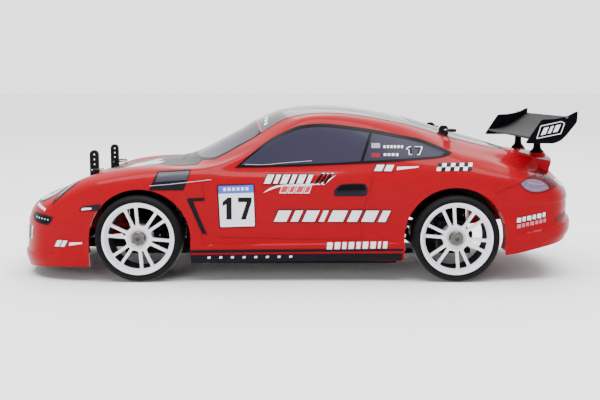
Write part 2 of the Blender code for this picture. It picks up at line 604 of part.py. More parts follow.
# The left half of the shell as ten rings, from its lower edge up to the centreline. Each ring has
# eighteen stations from the nose round the side to the tail: (x, distance from the centreline, z).
SHELL_RINGS = (
    ((-159.5, 0, 5), (-158, 20, 5), (-153.5, 37, 5), (-145, 50, 6.5), (-131, 58, 7.5), (-112.3, 61, 8),
     (-86, 61.5, 9), (-59.5, 60.8, 9.8), (-35, 60.3, 11), (-5, 60, 12), (30, 60, 12.5), (58.6, 61, 12.8),
     (86.5, 62, 13.5), (114.4, 61, 14.5), (134, 57.5, 16), (148, 48, 17.8), (155.5, 28, 18.5), (158, 0, 18.5)),
    ((-160.5, 0, 12), (-159.2, 21, 12), (-155, 38.5, 12.5), (-146, 52, 13.5), (-131, 60, 14.5),
     (-112, 62.3, 15.5), (-86, 62.8, 16), (-60, 62.3, 17), (-35, 61.8, 17.5), (-5, 61.5, 18),
     (30, 61.5, 18.5), (58.6, 62.3, 19), (86.5, 63.3, 20), (114, 62.5, 21), (135, 59, 22.5),
     (149.5, 49.5, 25), (157.8, 29, 26), (160.5, 0, 26)),
    ((-160, 0, 22), (-158.5, 21.5, 22), (-154, 39, 22.5), (-145, 52, 24), (-130, 59.5, 25),
     (-112, 62, 26.5), (-86, 62.9, 28), (-60, 61.3, 28), (-35, 60.2, 28), (-5, 59.8, 29),
     (30, 60, 29.5), (58.6, 61.3, 30), (86.5, 63.5, 31.5), (114, 62.6, 32), (135, 58.8, 34),
     (149, 49.3, 35.5), (157, 28.5, 36), (159.6, 0, 36)),
    ((-157.5, 0, 33.5), (-156, 22, 33.5), (-151.5, 39.5, 34.5), (-142.5, 51.5, 36), (-128.5, 58.3, 38),
     (-111, 61.5, 40), (-86, 62.9, 42), (-59, 61, 42), (-35, 60, 42), (-5, 59.7, 42.5),
     (30, 59.9, 43), (57, 61.2, 44), (86.5, 63.4, 46), (113, 62.3, 45), (134, 58.3, 45),
     (148, 49, 45), (156, 28, 45), (158.6, 0, 45)),
    ((-153.5, 0, 40.5), (-152, 22, 40.5), (-147.5, 39, 41.5), (-138, 50, 43.5), (-125.5, 56.8, 48),
     (-110, 60.2, 52), (-86, 61.6, 54.5), (-57, 60.4, 54.5), (-34, 59.6, 55), (-5, 59.2, 55.5),
     (30, 59.4, 56), (57, 60.6, 57), (86.5, 62.2, 58.5), (112, 60.6, 56.5), (131.5, 57, 53),
     (145.5, 48, 51), (154, 27, 50), (156.5, 0, 50)),
    ((-146, 0, 44.3), (-145, 20, 44.3), (-140.5, 36, 45.5), (-132, 45.5, 49), (-120.5, 50.5, 55),
     (-107, 54, 57.8), (-85, 56, 60.5), (-54, 56, 61.3), (-33, 55.5, 61.8), (-5, 55, 62.2),
     (30, 55, 64.3), (58, 56, 66.5), (86.5, 56.5, 66.5), (110, 53, 63), (128, 50, 59.5),
     (141, 43, 56.5), (149, 25, 55.5), (151, 0, 55.5)),
    ((-138.5, 0, 47.2), (-137.5, 17, 47.2), (-133, 31, 48.8), (-125, 38.5, 52.8), (-115, 42.5, 57),
     (-103, 45, 60.6), (-82, 46.5, 62.8), (-49, 48.5, 63), (-17, 48.5, 76), (4, 43.5, 85.6),
     (26, 42.8, 85.6), (56, 44.3, 80.4), (80, 47.5, 73.6), (107, 45.5, 67.8), (124, 42.5, 61),
     (137, 36.5, 59.3), (145, 24, 60.3), (147.5, 0, 60.5)),
    ((-131.5, 0, 50), (-130.5, 13, 50), (-127, 24, 51.2), (-119.5, 30, 54.6), (-110.5, 33, 57.2),
     (-98, 34, 59.4), (-78, 35, 62), (-55, 38, 64), (-27, 39.5, 76), (-4, 33.5, 89.2),
     (22, 32, 92), (56, 33, 86.8), (85, 34.5, 78.2), (112, 34.5, 71.4), (126, 32, 68.4),
     (137, 30, 67), (145.5, 19, 66.6), (147.3, 0, 66.6)),
    ((-125, 0, 53.5), (-124, 7.5, 53.5), (-120.5, 13, 54.3), (-114.5, 16, 56), (-106, 17, 57.6),
     (-94, 17.5, 60.8), (-77, 18, 64), (-60.5, 19, 66.4), (-35.5, 20, 79.2), (-10.5, 17.5, 92.4),
     (20, 16.5, 95.2), (56, 17, 89.8), (86.5, 18, 80.7), (115, 18, 72.6), (126, 16.5, 69.8),
     (134, 13.5, 68.6), (142, 9, 68.1), (144, 0, 68.1)),
    ((-118.5, 0, 55.8), (-117, 0, 56.2), (-113, 0, 57.4), (-107.5, 0, 58.8), (-100, 0, 60.6),
     (-90, 0, 62.6), (-77, 0, 65.2), (-62, 0, 67.4), (-37, 0, 79.9), (-12, 0, 92.9),
     (18, 0, 95.6), (56, 0, 90.3), (87, 0, 81.3), (116, 0, 73), (126, 0, 70),
     (131.5, 0, 69.1), (136, 0, 68.6), (139.5, 0, 68.4)),
)


def spline_row(row, steps):
    """The points of a Catmull-Rom curve through a row of points."""
    row = [Vector(p) for p in row]
    ends = [2 * row[0] - row[1], *row, 2 * row[-1] - row[-2]]
    made = []
    for i in range(len(row) - 1):
        a, b, c, d = ends[i:i + 4]
        for k in range(steps):
            t = k / steps
            made.append(0.5 * (2 * b + (c - a) * t + (2 * a - 5 * b + 4 * c - d) * t * t
                               + (3 * b - a - 3 * c + d) * t ** 3))
    made.append(row[-1])
    return made


def shell_skin(along, across):
    """The outer surface of both halves, finer by the number of steps each way, facing outwards."""
    rows = [spline_row(ring, along) for ring in SHELL_RINGS]
    columns = [spline_row(column, across) for column in zip(*rows)]
    bm = bmesh.new()
    for side in (-1, 1):
        grid = [[bm.verts.new((p.x, side * max(p.y, 0.0), p.z)) for p in column] for column in columns]
        for a, b in zip(grid, grid[1:]):
            for k in range(len(a) - 1):
                face = bm.faces.new((a[k], b[k], b[k + 1], a[k + 1]))
                if side > 0:
                    face.normal_flip()
    bmesh.ops.remove_doubles(bm, verts=bm.verts, dist=0.02)
    bmesh.ops.recalc_face_normals(bm, faces=bm.faces)
    roof = max(bm.faces, key=lambda f: f.calc_center_median().z)
    if roof.normal.z < 0:
        bmesh.ops.reverse_faces(bm, faces=bm.faces)
    return bm


def thickened(skin, thickness):
    """The skin given a wall on its inner side."""
    thing = raw_object("wall", skin)
    wall = thing.modifiers.new("wall", "SOLIDIFY")
    wall.thickness = thickness
    wall.offset = -1
    made = bmesh.new()
    made.from_object(thing, bpy.context.evaluated_depsgraph_get())
    bpy.data.objects.remove(thing, do_unlink=True)
    return made


def body_shell():
    cuts = []
    for x, z, radius in (FRONT_ARCH, REAR_ARCH):
        for side in (-1, 1):
            arch = [(x + radius * math.cos(math.pi * k / 16), z + radius * math.sin(math.pi * k / 16))
                    for k in range(17)]
            arch = [(x + radius, -5), *arch, (x - radius, -5)]
            cuts.append(prism(arch, *sorted((side * 50, side * 75)), "Y"))
    for px, py, _ in (FRONT_POST, REAR_POST):
        for side in (-1, 1):
            cuts.append(rod(3.6, 45, 90, "Z", (px, side * py), 12))
    solid("body_shell", "red_shell", [thickened(shell_skin(1, 1), SHELL_THICK)], cuts)


def rear_wing():
    seat = WING_SEAT_Z
    foil = [(126.5, 78.0), (133, 77.6), (141, 80.2), (151.5, 89.5), (151.0, 91.2), (141, 83.0), (133, 80.4),
            (127, 79.6)]
    plane = prism(foil, -56.5, 56.5, "Y")
    plate = [(124.5, 75.5), (132.4, 88.7), (145.9, 90.3), (152.3, 93.2), (152.1, 87.1), (144.6, 77.6),
             (140.8, 75.8)]
    parts = [plane]
    for side in (-1, 1):
        parts.append(prism(plate, *sorted((side * 56, side * 57.5)), "Y"))
        x, y = WING_POST
        parts.append(rod(4.0, seat, seat + 1.2, "Z", (x, side * y)))
        parts.append(rod(2.2, seat + 1, 80.5, "Z", (x, side * y)))
    solid("rear_wing", "gloss_black", parts)


def main():
    clear_scene()
    chassis_tub()
    bulkheads()
    front_body_mount()
    diff("front_diff", -1)
    diff("rear_diff", 1)
    centre_driveshaft()
    motor()
    steering()
    electrics()
    for end_name, end in (("front", -1), ("rear", 1)):
        for side_name, side in (("left", -1), ("right", 1)):
            corner(end_name, end, side_name, side)
    body_shell()
    rear_wing()
    body_clips()


main()
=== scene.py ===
"""Looks of the drift car: paint, glass, graphics, wheels, wing, posts, clips and springs.

The car faces -X, its left side is towards -Y, and it stands on z = 0. Lengths are in millimetres
and become metres when a mesh is made.
"""

import json
import math

import bmesh
import bpy
import numpy as np
from mathutils import Matrix, Vector
from mathutils.bvhtree import BVHTree
from mathutils.geometry import delaunay_2d_cdt


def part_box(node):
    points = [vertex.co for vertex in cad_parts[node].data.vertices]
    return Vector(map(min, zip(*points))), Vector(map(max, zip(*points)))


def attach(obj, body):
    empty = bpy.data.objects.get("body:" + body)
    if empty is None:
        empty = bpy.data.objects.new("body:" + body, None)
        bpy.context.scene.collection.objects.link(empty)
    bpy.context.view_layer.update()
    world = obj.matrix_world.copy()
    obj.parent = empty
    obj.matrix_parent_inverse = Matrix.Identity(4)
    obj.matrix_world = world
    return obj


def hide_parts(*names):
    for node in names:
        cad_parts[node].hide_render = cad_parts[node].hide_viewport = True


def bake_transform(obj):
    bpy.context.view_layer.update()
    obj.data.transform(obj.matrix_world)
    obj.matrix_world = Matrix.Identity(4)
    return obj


MM = 0.001
CHASSIS = "chassis"
SIDES = (("left", -1), ("right", 1))
ENDS = (("front", -1), ("rear", 1))

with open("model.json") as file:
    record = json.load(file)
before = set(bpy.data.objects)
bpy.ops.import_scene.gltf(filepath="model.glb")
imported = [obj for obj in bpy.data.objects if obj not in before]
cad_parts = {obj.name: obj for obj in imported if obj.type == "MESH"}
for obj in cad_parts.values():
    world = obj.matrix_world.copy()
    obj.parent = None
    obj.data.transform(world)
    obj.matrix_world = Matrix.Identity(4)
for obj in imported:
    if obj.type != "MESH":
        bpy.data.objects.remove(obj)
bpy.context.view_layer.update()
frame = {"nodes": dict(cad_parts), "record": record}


def node_centre(node):
    """The middle of a CAD node's box, in millimetres."""
    low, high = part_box(node)
    return (low + high) / 2 / MM


AXLES = {(e, s): node_centre(f"tyre_{e}_{s}") for e, _ in ENDS for s, _ in SIDES}


# Materials

def node_tools(material):
    """A material's shader, a function that adds a node, and one that links two sockets."""
    nodes = material.node_tree.nodes
    links = material.node_tree.links

    def add(kind, **values):
        made = nodes.new(kind)
        for key, value in values.items():
            if hasattr(made, key):
                setattr(made, key, value)
            else:
                made.inputs[key.replace("_", " ")].default_value = value
        return made

    return nodes["Principled BSDF"], add, links.new


def finish(name, colour, rough, metal=0.0, coat=0.0, vary=0.12, grain=900, bump=0.02, spread=0.06,
           coat_rough=0.03, stretch=(1, 1, 1), specular=0.5):
    """A material whose colour, roughness and height wander with noise of the given grain."""
    material = bpy.data.materials.new(name)
    material.use_nodes = True
    shader, add, link = node_tools(material)
    shader.inputs["Metallic"].default_value = metal
    shader.inputs["Coat Weight"].default_value = coat
    shader.inputs["Coat Roughness"].default_value = coat_rough
    shader.inputs["Specular IOR Level"].default_value = specular
    place = add("ShaderNodeTexCoord")
    mapping = add("ShaderNodeMapping")
    mapping.inputs["Scale"].default_value = stretch
    link(place.outputs["Object"], mapping.inputs["Vector"])
    fine = add("ShaderNodeTexNoise", Scale=grain, Detail=4.0, Roughness=0.6)
    broad = add("ShaderNodeTexNoise", Scale=grain / 18, Detail=2.0)
    link(mapping.outputs[0], fine.inputs["Vector"])
    link(mapping.outputs[0], broad.inputs["Vector"])
    mix = add("ShaderNodeMix", data_type="RGBA")
    dark = tuple(c * (1 - vary) for c in colour)
    light = tuple(min(1.0, c * (1 + vary)) for c in colour)
    mix.inputs["A"].default_value = (*dark, 1)
    mix.inputs["B"].default_value = (*light, 1)
    mean = add("ShaderNodeMath", operation="MULTIPLY_ADD")
    mean.inputs[1].default_value = 0.5
    link(fine.outputs["Fac"], mean.inputs[0])
    half = add("ShaderNodeMath", operation="MULTIPLY")
    half.inputs[1].default_value = 0.5
    link(broad.outputs["Fac"], half.inputs[0])
    link(half.outputs[0], mean.inputs[2])
    link(mean.outputs[0], mix.inputs["Factor"])
    link(mix.outputs["Result"], shader.inputs["Base Color"])
    rough_range = add("ShaderNodeMapRange")
    rough_range.inputs["To Min"].default_value = max(0.02, rough - spread)
    rough_range.inputs["To Max"].default_value = min(1.0, rough + spread)
    link(fine.outputs["Fac"], rough_range.inputs["Value"])
    link(rough_range.outputs[0], shader.inputs["Roughness"])
    if bump:
        height = add("ShaderNodeBump", Strength=bump, Distance=0.0002)
        link(fine.outputs["Fac"], height.inputs["Height"])
        link(height.outputs[0], shader.inputs["Normal"])
    return material


PAINTS = {
    "red": dict(colour=(0.30, 0.0006, 0.007), rough=0.4, coat=0.32, coat_rough=0.05, vary=0.08, grain=2500,
                bump=0.0, specular=0.06),
    # A darker copy of the body red: painted shade for the plate recess.
    "red_painted_shade": dict(colour=(0.22, 0.004, 0.006), rough=0.4, coat=0.3, bump=0.05),
    "red_line": dict(colour=(0.12, 0.003, 0.004), rough=0.5, bump=0.05),
    "red_sign": dict(colour=(0.6, 0.02, 0.05), rough=0.35, coat=0.3, vary=0.05),
    "inside": dict(colour=(0.4, 0.012, 0.014), rough=0.5, bump=0.05),
    "gloss_black": dict(colour=(0.004, 0.004, 0.005), rough=0.34, coat=0.06, grain=1500, spread=0.03,
                        specular=0.15),
    "wing_black": dict(colour=(0.003, 0.003, 0.004), rough=0.5, coat_rough=0.15, grain=1500, bump=0.05,
                       specular=0.05),
    "carbon": dict(colour=(0.035, 0.037, 0.055), rough=0.4, coat=0.4, vary=0.35, grain=700, bump=0.05,
                   stretch=(1, 1, 2)),
    "stripe_black": dict(colour=(0.016, 0.016, 0.018), rough=0.25, coat=0.6, grain=1200, bump=0.03,
                         spread=0.04),
    "hood_black": dict(colour=(0.012, 0.012, 0.014), rough=0.4, coat=0.1, grain=1200, bump=0.03,
                       spread=0.04, specular=0.2),
    "decal_black": dict(colour=(0.009, 0.009, 0.013), rough=0.4, coat=0.06, bump=0.05, specular=0.15),
    "glass": dict(colour=(0.030, 0.028, 0.05), rough=0.3, coat=0.08, vary=0.06, bump=0.03, spread=0.03,
                  specular=0.15),
    "screen_glass": dict(colour=(0.036, 0.034, 0.06), rough=0.3, coat=0.22, vary=0.06, bump=0.03,
                         spread=0.03, specular=0.3),
    "nylon": dict(colour=(0.009, 0.009, 0.010), rough=0.5, grain=1800, bump=0.25, specular=0.2),
    "tyre": dict(colour=(0.007, 0.007, 0.008), rough=0.62, vary=0.25, grain=1600, bump=0.35, specular=0.2),
    "white_rim": dict(colour=(0.9, 0.89, 0.97), rough=0.3, coat=0.3, vary=0.03, grain=800, bump=0.04),
    # Near black for the rim barrel: painted shade inside the white rim, not the rim's own colour.
    "rim_painted_shade": dict(colour=(0.022, 0.021, 0.028), rough=0.5, grain=800, bump=0.1, specular=0.2),
    "steel": dict(colour=(0.62, 0.62, 0.64), rough=0.25, metal=1.0, grain=2500, bump=0.05,
                  stretch=(1, 8, 1)),
    "nut": dict(colour=(0.36, 0.32, 0.26), rough=0.28, metal=1.0, grain=1800, bump=0.1),
    "aluminium": dict(colour=(0.10, 0.10, 0.11), rough=0.45, metal=0.8, grain=2200, bump=0.08),
    "spring": dict(colour=(0.05, 0.05, 0.055), rough=0.4, metal=0.6, grain=1500, bump=0.05),
    "battery": dict(colour=(0.03, 0.09, 0.42), rough=0.35, coat=0.4, grain=500, bump=0.12),
    "gear": dict(colour=(0.09, 0.09, 0.1), rough=0.45, grain=1500, bump=0.15),
    "white": dict(colour=(0.84, 0.83, 0.9), rough=0.35, coat=0.3, vary=0.03),
    "blue": dict(colour=(0.05, 0.12, 0.62), rough=0.35, coat=0.3, vary=0.05),
    "grey": dict(colour=(0.3, 0.3, 0.34), rough=0.4, coat=0.2),
    "pale": dict(colour=(0.52, 0.47, 0.53), rough=0.35, coat=0.4, vary=0.18, grain=260),
    "faded": dict(colour=(0.55, 0.16, 0.2), rough=0.35, coat=0.2),
    "lamp": dict(colour=(0.17, 0.19, 0.26), rough=0.15, coat=1.0, vary=0.3, grain=500, bump=0.03),
    "lamp_red": dict(colour=(0.22, 0.016, 0.024), rough=0.2, coat=0.5, vary=0.2, grain=500),
    "lamp_wine": dict(colour=(0.13, 0.008, 0.014), rough=0.3, vary=0.2, grain=500, specular=0.06),
    "lamp_blue": dict(colour=(0.15, 0.13, 0.22), rough=0.25, coat=0.2, vary=0.3, grain=400, bump=0.03),
    "lamp_dark": dict(colour=(0.014, 0.015, 0.022), rough=0.25, coat=0.06, grain=700, bump=0.03,
                      specular=0.12),
}
paints = {}


def paint(name):
    """The material of a paint, made the first time that it is asked for."""
    if name not in paints:
        paints[name] = finish(name, **PAINTS[name])
    return paints[name]


# Making pieces

def piece(name, bm, paint_name, body=CHASSIS, smooth=40):
    """A finished object from a bmesh in millimetres, riding on a body if one is given."""
    bm.transform(Matrix.Scale(MM, 4))
    mesh = bpy.data.meshes.new(name)
    bm.to_mesh(mesh)
    bm.free()
    thing = bpy.data.objects.new(name, mesh)
    bpy.context.scene.collection.objects.link(thing)
    mesh.materials.append(paint(paint_name))
    mesh.shade_smooth()
    mesh.set_sharp_from_angle(angle=math.radians(smooth))
    if body:
        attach(thing, body)
    return thing


def mirrored(bm):
    """The other side's twin of a mesh."""
    copy = bm.copy()
    for vert in copy.verts:
        vert.co.y = -vert.co.y
    bmesh.ops.reverse_faces(copy, faces=copy.faces)
    return copy


def merged(*meshes):
    """Several bmeshes in one, kept as separate shapes."""
    whole = bmesh.new()
    for bm in meshes:
        holder = bpy.data.meshes.new("holder")
        bm.to_mesh(holder)
        bm.free()
        whole.from_mesh(holder)
        bpy.data.meshes.remove(holder)
    return whole


def catmull(points, steps):
    """Points of a smooth curve through the given ones, which have two or three numbers each."""
    row = [Vector(p) for p in points]
    ends = [2 * row[0] - row[1], *row, 2 * row[-1] - row[-2]]
    made = []
    for i in range(len(ends) - 3):
        a, b, c, d = ends[i:i + 4]
        for k in range(steps):
            t = k / steps
            made.append(0.5 * (2 * b + (c - a) * t + (2 * a - 5 * b + 4 * c - d) * t * t
                               + (3 * b - a - 3 * c + d) * t ** 3))
    made.append(row[-1])
    return made


def smoothstep(low, high, value):
    """0 up to low, 1 from high on, and a soft step between them."""
    t = min(1.0, max(0.0, (value - low) / (high - low)))
    return t * t * (3 - 2 * t)


def between(low, high, soft, value):
    """1 between low and high, fading to 0 at both ends."""
    return smoothstep(low, low + soft, value) * (1 - smoothstep(high - soft, high, value))


def lathe(profile, axis, centre, sides=64):
    """A turned solid: profile is a closed loop of (radius, along) pairs; radius 0 closes on the axis."""
    bm = bmesh.new()
    rings = []
    for radius, along in profile:
        if radius < 1e-6:
            rings.append([bm.verts.new((0, 0, along))])
            continue
        angles = [2 * math.pi * k / sides for k in range(sides)]
        rings.append([bm.verts.new((radius * math.cos(t), radius * math.sin(t), along)) for t in angles])
    for a, b in zip(rings, rings[1:] + rings[:1]):
        if len(a) == 1 and len(b) == 1:
            continue
        for k in range(sides):
            n = (k + 1) % sides
            quad = [a[k % len(a)], a[n % len(a)], b[n % len(b)], b[k % len(b)]]
            bm.faces.new(list(dict.fromkeys(quad)))
    turns = {"Y": Matrix(((0, 1, 0), (0, 0, 1), (1, 0, 0))), "Z": Matrix.Identity(3)}
    bm.transform(Matrix.Translation(Vector(centre)) @ turns[axis].to_4x4())
    bmesh.ops.recalc_face_normals(bm, faces=bm.faces)
    return bm


def plate(outlines, low, high, axis="Y", bevel=0.0, segments=2):
    """A flat plate from low to high on an axis, outlined in the other two axes.

    The first outline is its edge, and the rest are holes.
    """
    flat = []
    edges = []
    loops = []
    for outline in outlines:
        first = len(flat)
        flat += [Vector((p[0], p[1])) for p in outline]
        count = len(outline)
        edges += [(first + k, first + (k + 1) % count) for k in range(count)]
        loops.append(list(range(first, first + count)))
    verts, _, faces, *_ = delaunay_2d_cdt(flat, edges, loops[:1], 1, 1e-5)
    orders = {"X": lambda u, v, w: (w, u, v), "Y": lambda u, v, w: (u, w, v),
              "Z": lambda u, v, w: (u, v, w)}
    order = orders[axis]
    holes = [[flat[i] for i in loop] for loop in loops[1:]]
    bm = bmesh.new()
    bottom = [bm.verts.new(order(v.x, v.y, low)) for v in verts]
    kept = []
    for face in faces:
        middle = sum((verts[i] for i in face), Vector((0, 0))) / len(face)
        if not any(inside(middle, hole) for hole in holes):
            kept.append(bm.faces.new([bottom[i] for i in face]))
    made = bmesh.ops.extrude_face_region(bm, geom=kept)
    shift = Vector(order(0, 0, high - low))
    bmesh.ops.translate(bm, verts=[g for g in made["geom"] if isinstance(g, bmesh.types.BMVert)], vec=shift)
    bmesh.ops.delete(bm, geom=[v for v in bm.verts if not v.link_faces], context="VERTS")
    bmesh.ops.recalc_face_normals(bm, faces=bm.faces)
    if bevel:
        sharp = [e for e in bm.edges if e.calc_face_angle(0) > math.radians(50)]
        bmesh.ops.bevel(bm, geom=sharp, offset=bevel, segments=segments, profile=0.5, affect="EDGES")
    return bm


def upright(outlines, side, near, far, bevel=0.0, segments=2):
    """A plate that faces sideways, near and far being its distances from the centreline."""
    return plate(outlines, *sorted((side * near, side * far)), "Y", bevel, segments)


def inside(point, loop):
    """True where a flat point lies inside a loop."""
    hit = False
    for a, b in zip(loop, loop[1:] + loop[:1]):
        if (a[1] > point[1]) != (b[1] > point[1]):
            if point[0] < (b[0] - a[0]) * (point[1] - a[1]) / (b[1] - a[1]) + a[0]:
                hit = not hit
    return hit


def skinned(bm, rings):
    """Faces from ring to ring and over both ends."""
    for a, b in zip(rings, rings[1:]):
        for k in range(len(a)):
            n = (k + 1) % len(a)
            bm.faces.new((a[k], a[n], b[n], b[k]))
    bm.faces.new(rings[0])
    bm.faces.new(rings[-1])
    bmesh.ops.recalc_face_normals(bm, faces=bm.faces)
    return bm


def wire(path, radius, sides):
    """A round bar along a path."""
    bm = bmesh.new()
    path = [Vector(p) for p in path]
    side = None
    rings = []
    for i, here in enumerate(path):
        ahead = (path[min(i + 1, len(path) - 1)] - path[max(i - 1, 0)]).normalized()
        if side is None:
            side = ahead.orthogonal().normalized()
        side = (side - ahead * side.dot(ahead)).normalized()
        other = ahead.cross(side)
        rings.append([bm.verts.new(here + radius * (math.cos(t) * side + math.sin(t) * other))
                      for t in (2 * math.pi * k / sides for k in range(sides))])
    return skinned(bm, rings)


def arc(cx, cy, radius, start, end, steps):
    """Points on an arc, in degrees, both ends included."""
    turns = [math.radians(start + (end - start) * k / steps) for k in range(steps + 1)]
    return [(cx + radius * math.cos(t), cy + radius * math.sin(t)) for t in turns]


def circle(cx, cy, radius, count):
    """A closed ring of points."""
    return arc(cx, cy, radius, 0, 360 * (count - 1) / count, count - 1)


def rounded(corners, radius, steps=5):
    """A polygon with each corner rounded off."""
    made = []
    count = len(corners)
    for i in range(count):
        here = Vector(corners[i])
        back = Vector(corners[i - 1]) - here
        on = Vector(corners[(i + 1) % count]) - here
        reach = min(radius, back.length * 0.45, on.length * 0.45)
        a = here + back.normalized() * reach
        b = here + on.normalized() * reach
        for k in range(steps + 1):
            t = k / steps
            made.append((1 - t) ** 2 * a + 2 * t * (1 - t) * here + t * t * b)
    return made


def curve(points, steps):
    """A smooth flat line through flat points."""
    return [(p.x, p.y) for p in catmull([(a, b, 0) for a, b in points], steps)]


def strip(path, width):
    """The outline of a band of one width along a flat path."""
    path = [Vector(p) for p in path]
    near = []
    far = []
    for i, here in enumerate(path):
        ahead = (path[min(i + 1, len(path) - 1)] - path[max(i - 1, 0)]).normalized()
        across = Vector((-ahead.y, ahead.x)) * width / 2
        near.append(here + across)
        far.append(here - across)
    return near + far[::-1]


# Shell surface

# The left half of the shell as ten rings, from its lower edge up to the centreline. Each ring has
# eighteen stations from the nose round the side to the tail: (x, distance from the centreline, z).
SHELL_RINGS = (
    ((-159.5, 0, 5), (-158, 20, 5), (-153.5, 37, 5), (-145, 50, 6.5), (-131, 58, 7.5), (-112.3, 61, 8),
     (-86, 61.5, 9), (-59.5, 60.8, 9.8), (-35, 60.3, 10.3), (-5, 60, 10.9), (30, 60, 11.2),
     (58.6, 61, 11.5), (86.5, 62, 13.5), (114.4, 61, 14.5), (134, 57.5, 18), (148, 48, 20.6),
     (155.5, 28, 22), (158, 0, 22)),
    ((-160.5, 0, 12), (-159.2, 21, 12), (-155, 38.5, 12.5), (-146, 52, 13.5), (-131, 60, 14.5),
     (-112, 62.3, 15.5), (-86, 62.8, 16), (-60, 62.3, 17), (-35, 61.8, 17.5), (-5, 61.5, 18),
     (30, 61.5, 18.5), (58.6, 62.3, 19), (86.5, 63.3, 20), (114, 62.5, 21), (135, 59, 24),
     (149.5, 49.5, 26.4), (157.8, 29, 27.6), (160.5, 0, 27.6)),
    ((-160, 0, 22), (-158.5, 21.5, 22), (-154, 39, 22.5), (-145, 52, 24), (-130, 59.5, 25),
     (-112, 62, 26.5), (-86, 62.9, 28), (-60, 61.3, 28), (-35, 60.2, 28), (-5, 59.8, 29),
     (30, 60, 29.5), (58.6, 61.3, 30), (86.5, 63.5, 31.5), (114, 62.6, 32), (135, 58.8, 34),
     (149, 49.3, 35.5), (157, 28.5, 36), (159.6, 0, 36)),
    ((-157.5, 0, 33.5), (-156, 22, 33.5), (-151.5, 39.5, 34.5), (-142.5, 51.5, 36), (-128.5, 58.3, 38),
     (-111, 61.5, 40), (-86, 62.9, 42), (-59, 61, 42), (-35, 60, 42), (-5, 59.7, 42.5),
     (30, 59.9, 43), (57, 61.2, 44), (86.5, 63.4, 46), (113, 62.3, 45), (134, 58.3, 45),
     (148, 49, 45), (156, 28, 45), (158.6, 0, 45)),
    ((-153.5, 0, 40.5), (-152, 22, 40.5), (-147.5, 39, 41.5), (-138, 50, 43.5), (-125.5, 56.8, 48),
     (-110, 60.2, 52), (-86, 61.6, 54.5), (-57, 60.4, 54.5), (-34, 59.6, 55), (-5, 59.2, 55.5),
     (30, 59.4, 56), (57, 60.6, 57), (86.5, 62.2, 58.5), (112, 60.6, 56.5), (131.5, 57, 53),
     (145.5, 48, 51), (154, 27, 50), (156.5, 0, 50)),
    ((-146, 0, 44.3), (-145, 20, 44.3), (-140.5, 36, 45.5), (-132, 45.5, 49), (-120.5, 50.5, 55),
     (-107, 54, 57.8), (-85, 56, 60.5), (-54, 56, 61.3), (-33, 55.5, 61.8), (-5, 55, 62.2),
     (30, 55, 64.3), (58, 56, 66.5), (86.5, 56.5, 66.5), (110, 53, 63), (128, 50, 59.5),
     (141, 43, 56.5), (149, 25, 55.5), (151, 0, 55.5)),
    ((-138.5, 0, 47.2), (-137.5, 17, 47.2), (-133, 31, 48.8), (-125, 38.5, 52.8), (-115, 42.5, 57),
     (-103, 45, 60.6), (-82, 46.5, 62.8), (-49, 48.5, 63), (-17, 48.5, 76), (4, 43.5, 85.6),
     (26, 42.8, 85.6), (56, 44.3, 80.4), (80, 47.5, 73.6), (107, 45.5, 67.8), (124, 42.5, 61),
     (137, 36.5, 59.3), (145, 24, 60.3), (147.5, 0, 60.5)),
    ((-131.5, 0, 50), (-130.5, 13, 50), (-127, 24, 51.2), (-119.5, 30, 54.6), (-110.5, 33, 57.2),
     (-98, 34, 59.4), (-78, 35, 62), (-55, 38, 64), (-27, 39.5, 76), (-4, 33.5, 89.2),
     (22, 32, 92), (56, 33, 86.8), (85, 34.5, 78.2), (112, 34.5, 71.4), (126, 32, 68.4),
     (137, 30, 67), (145.5, 19, 66.6), (147.3, 0, 66.6)),
    ((-125, 0, 53.5), (-124, 7.5, 53.5), (-120.5, 13, 54.3), (-114.5, 16, 56), (-106, 17, 57.6),
     (-94, 17.5, 60.8), (-77, 18, 64), (-60.5, 19, 66.4), (-35.5, 20, 79.2), (-10.5, 17.5, 92.4),
     (20, 16.5, 95.2), (56, 17, 89.8), (86.5, 18, 80.7), (115, 18, 72.6), (126, 16.5, 69.8),
     (134, 13.5, 68.6), (142, 9, 68.1), (144, 0, 68.1)),
    ((-118.5, 0, 55.8), (-117, 0, 56.2), (-113, 0, 57.4), (-107.5, 0, 58.8), (-100, 0, 60.6),
     (-90, 0, 62.6), (-77, 0, 65.2), (-62, 0, 67.4), (-37, 0, 79.9), (-12, 0, 92.9),
     (18, 0, 95.6), (56, 0, 90.3), (87, 0, 81.3), (116, 0, 73), (126, 0, 70),
     (131.5, 0, 69.1), (136, 0, 68.6), (139.5, 0, 68.4)),
)
STEPS_ALONG = 10
STEPS_ACROSS = 12
SHELL_WALL = 1.1
# Each wheel arch is an arc: its middle's x and z, and its radius.
ARCHES = {"front": (-86.5, 23.0, 27.8), "rear": (86.5, 24.0, 27.8)}
ARCH_LIP_DEPTH = {"front": 1.2, "rear": 9.5}
# The front lips are painted black as painted shade over the tyres; the rear lips show the shell's inside
# paint.
ARCH_LIP_PAINT = {"front": "decal_black", "rear": "inside"}
# How far from the centreline the black panels of painted shade stand in the arches.
SHADE_PANEL_Y = {"front": 33.4, "rear": 42.6}
# Where the body posts stand: x, and the distance from the centreline.
FRONT_POST = (-117.0, 30.0)
REAR_POST = (84.0, 28.0)
POST_HOLE_IN_SHELL = 3.3
# Where the wing's stays stand.
STAY = (139.2, 24)


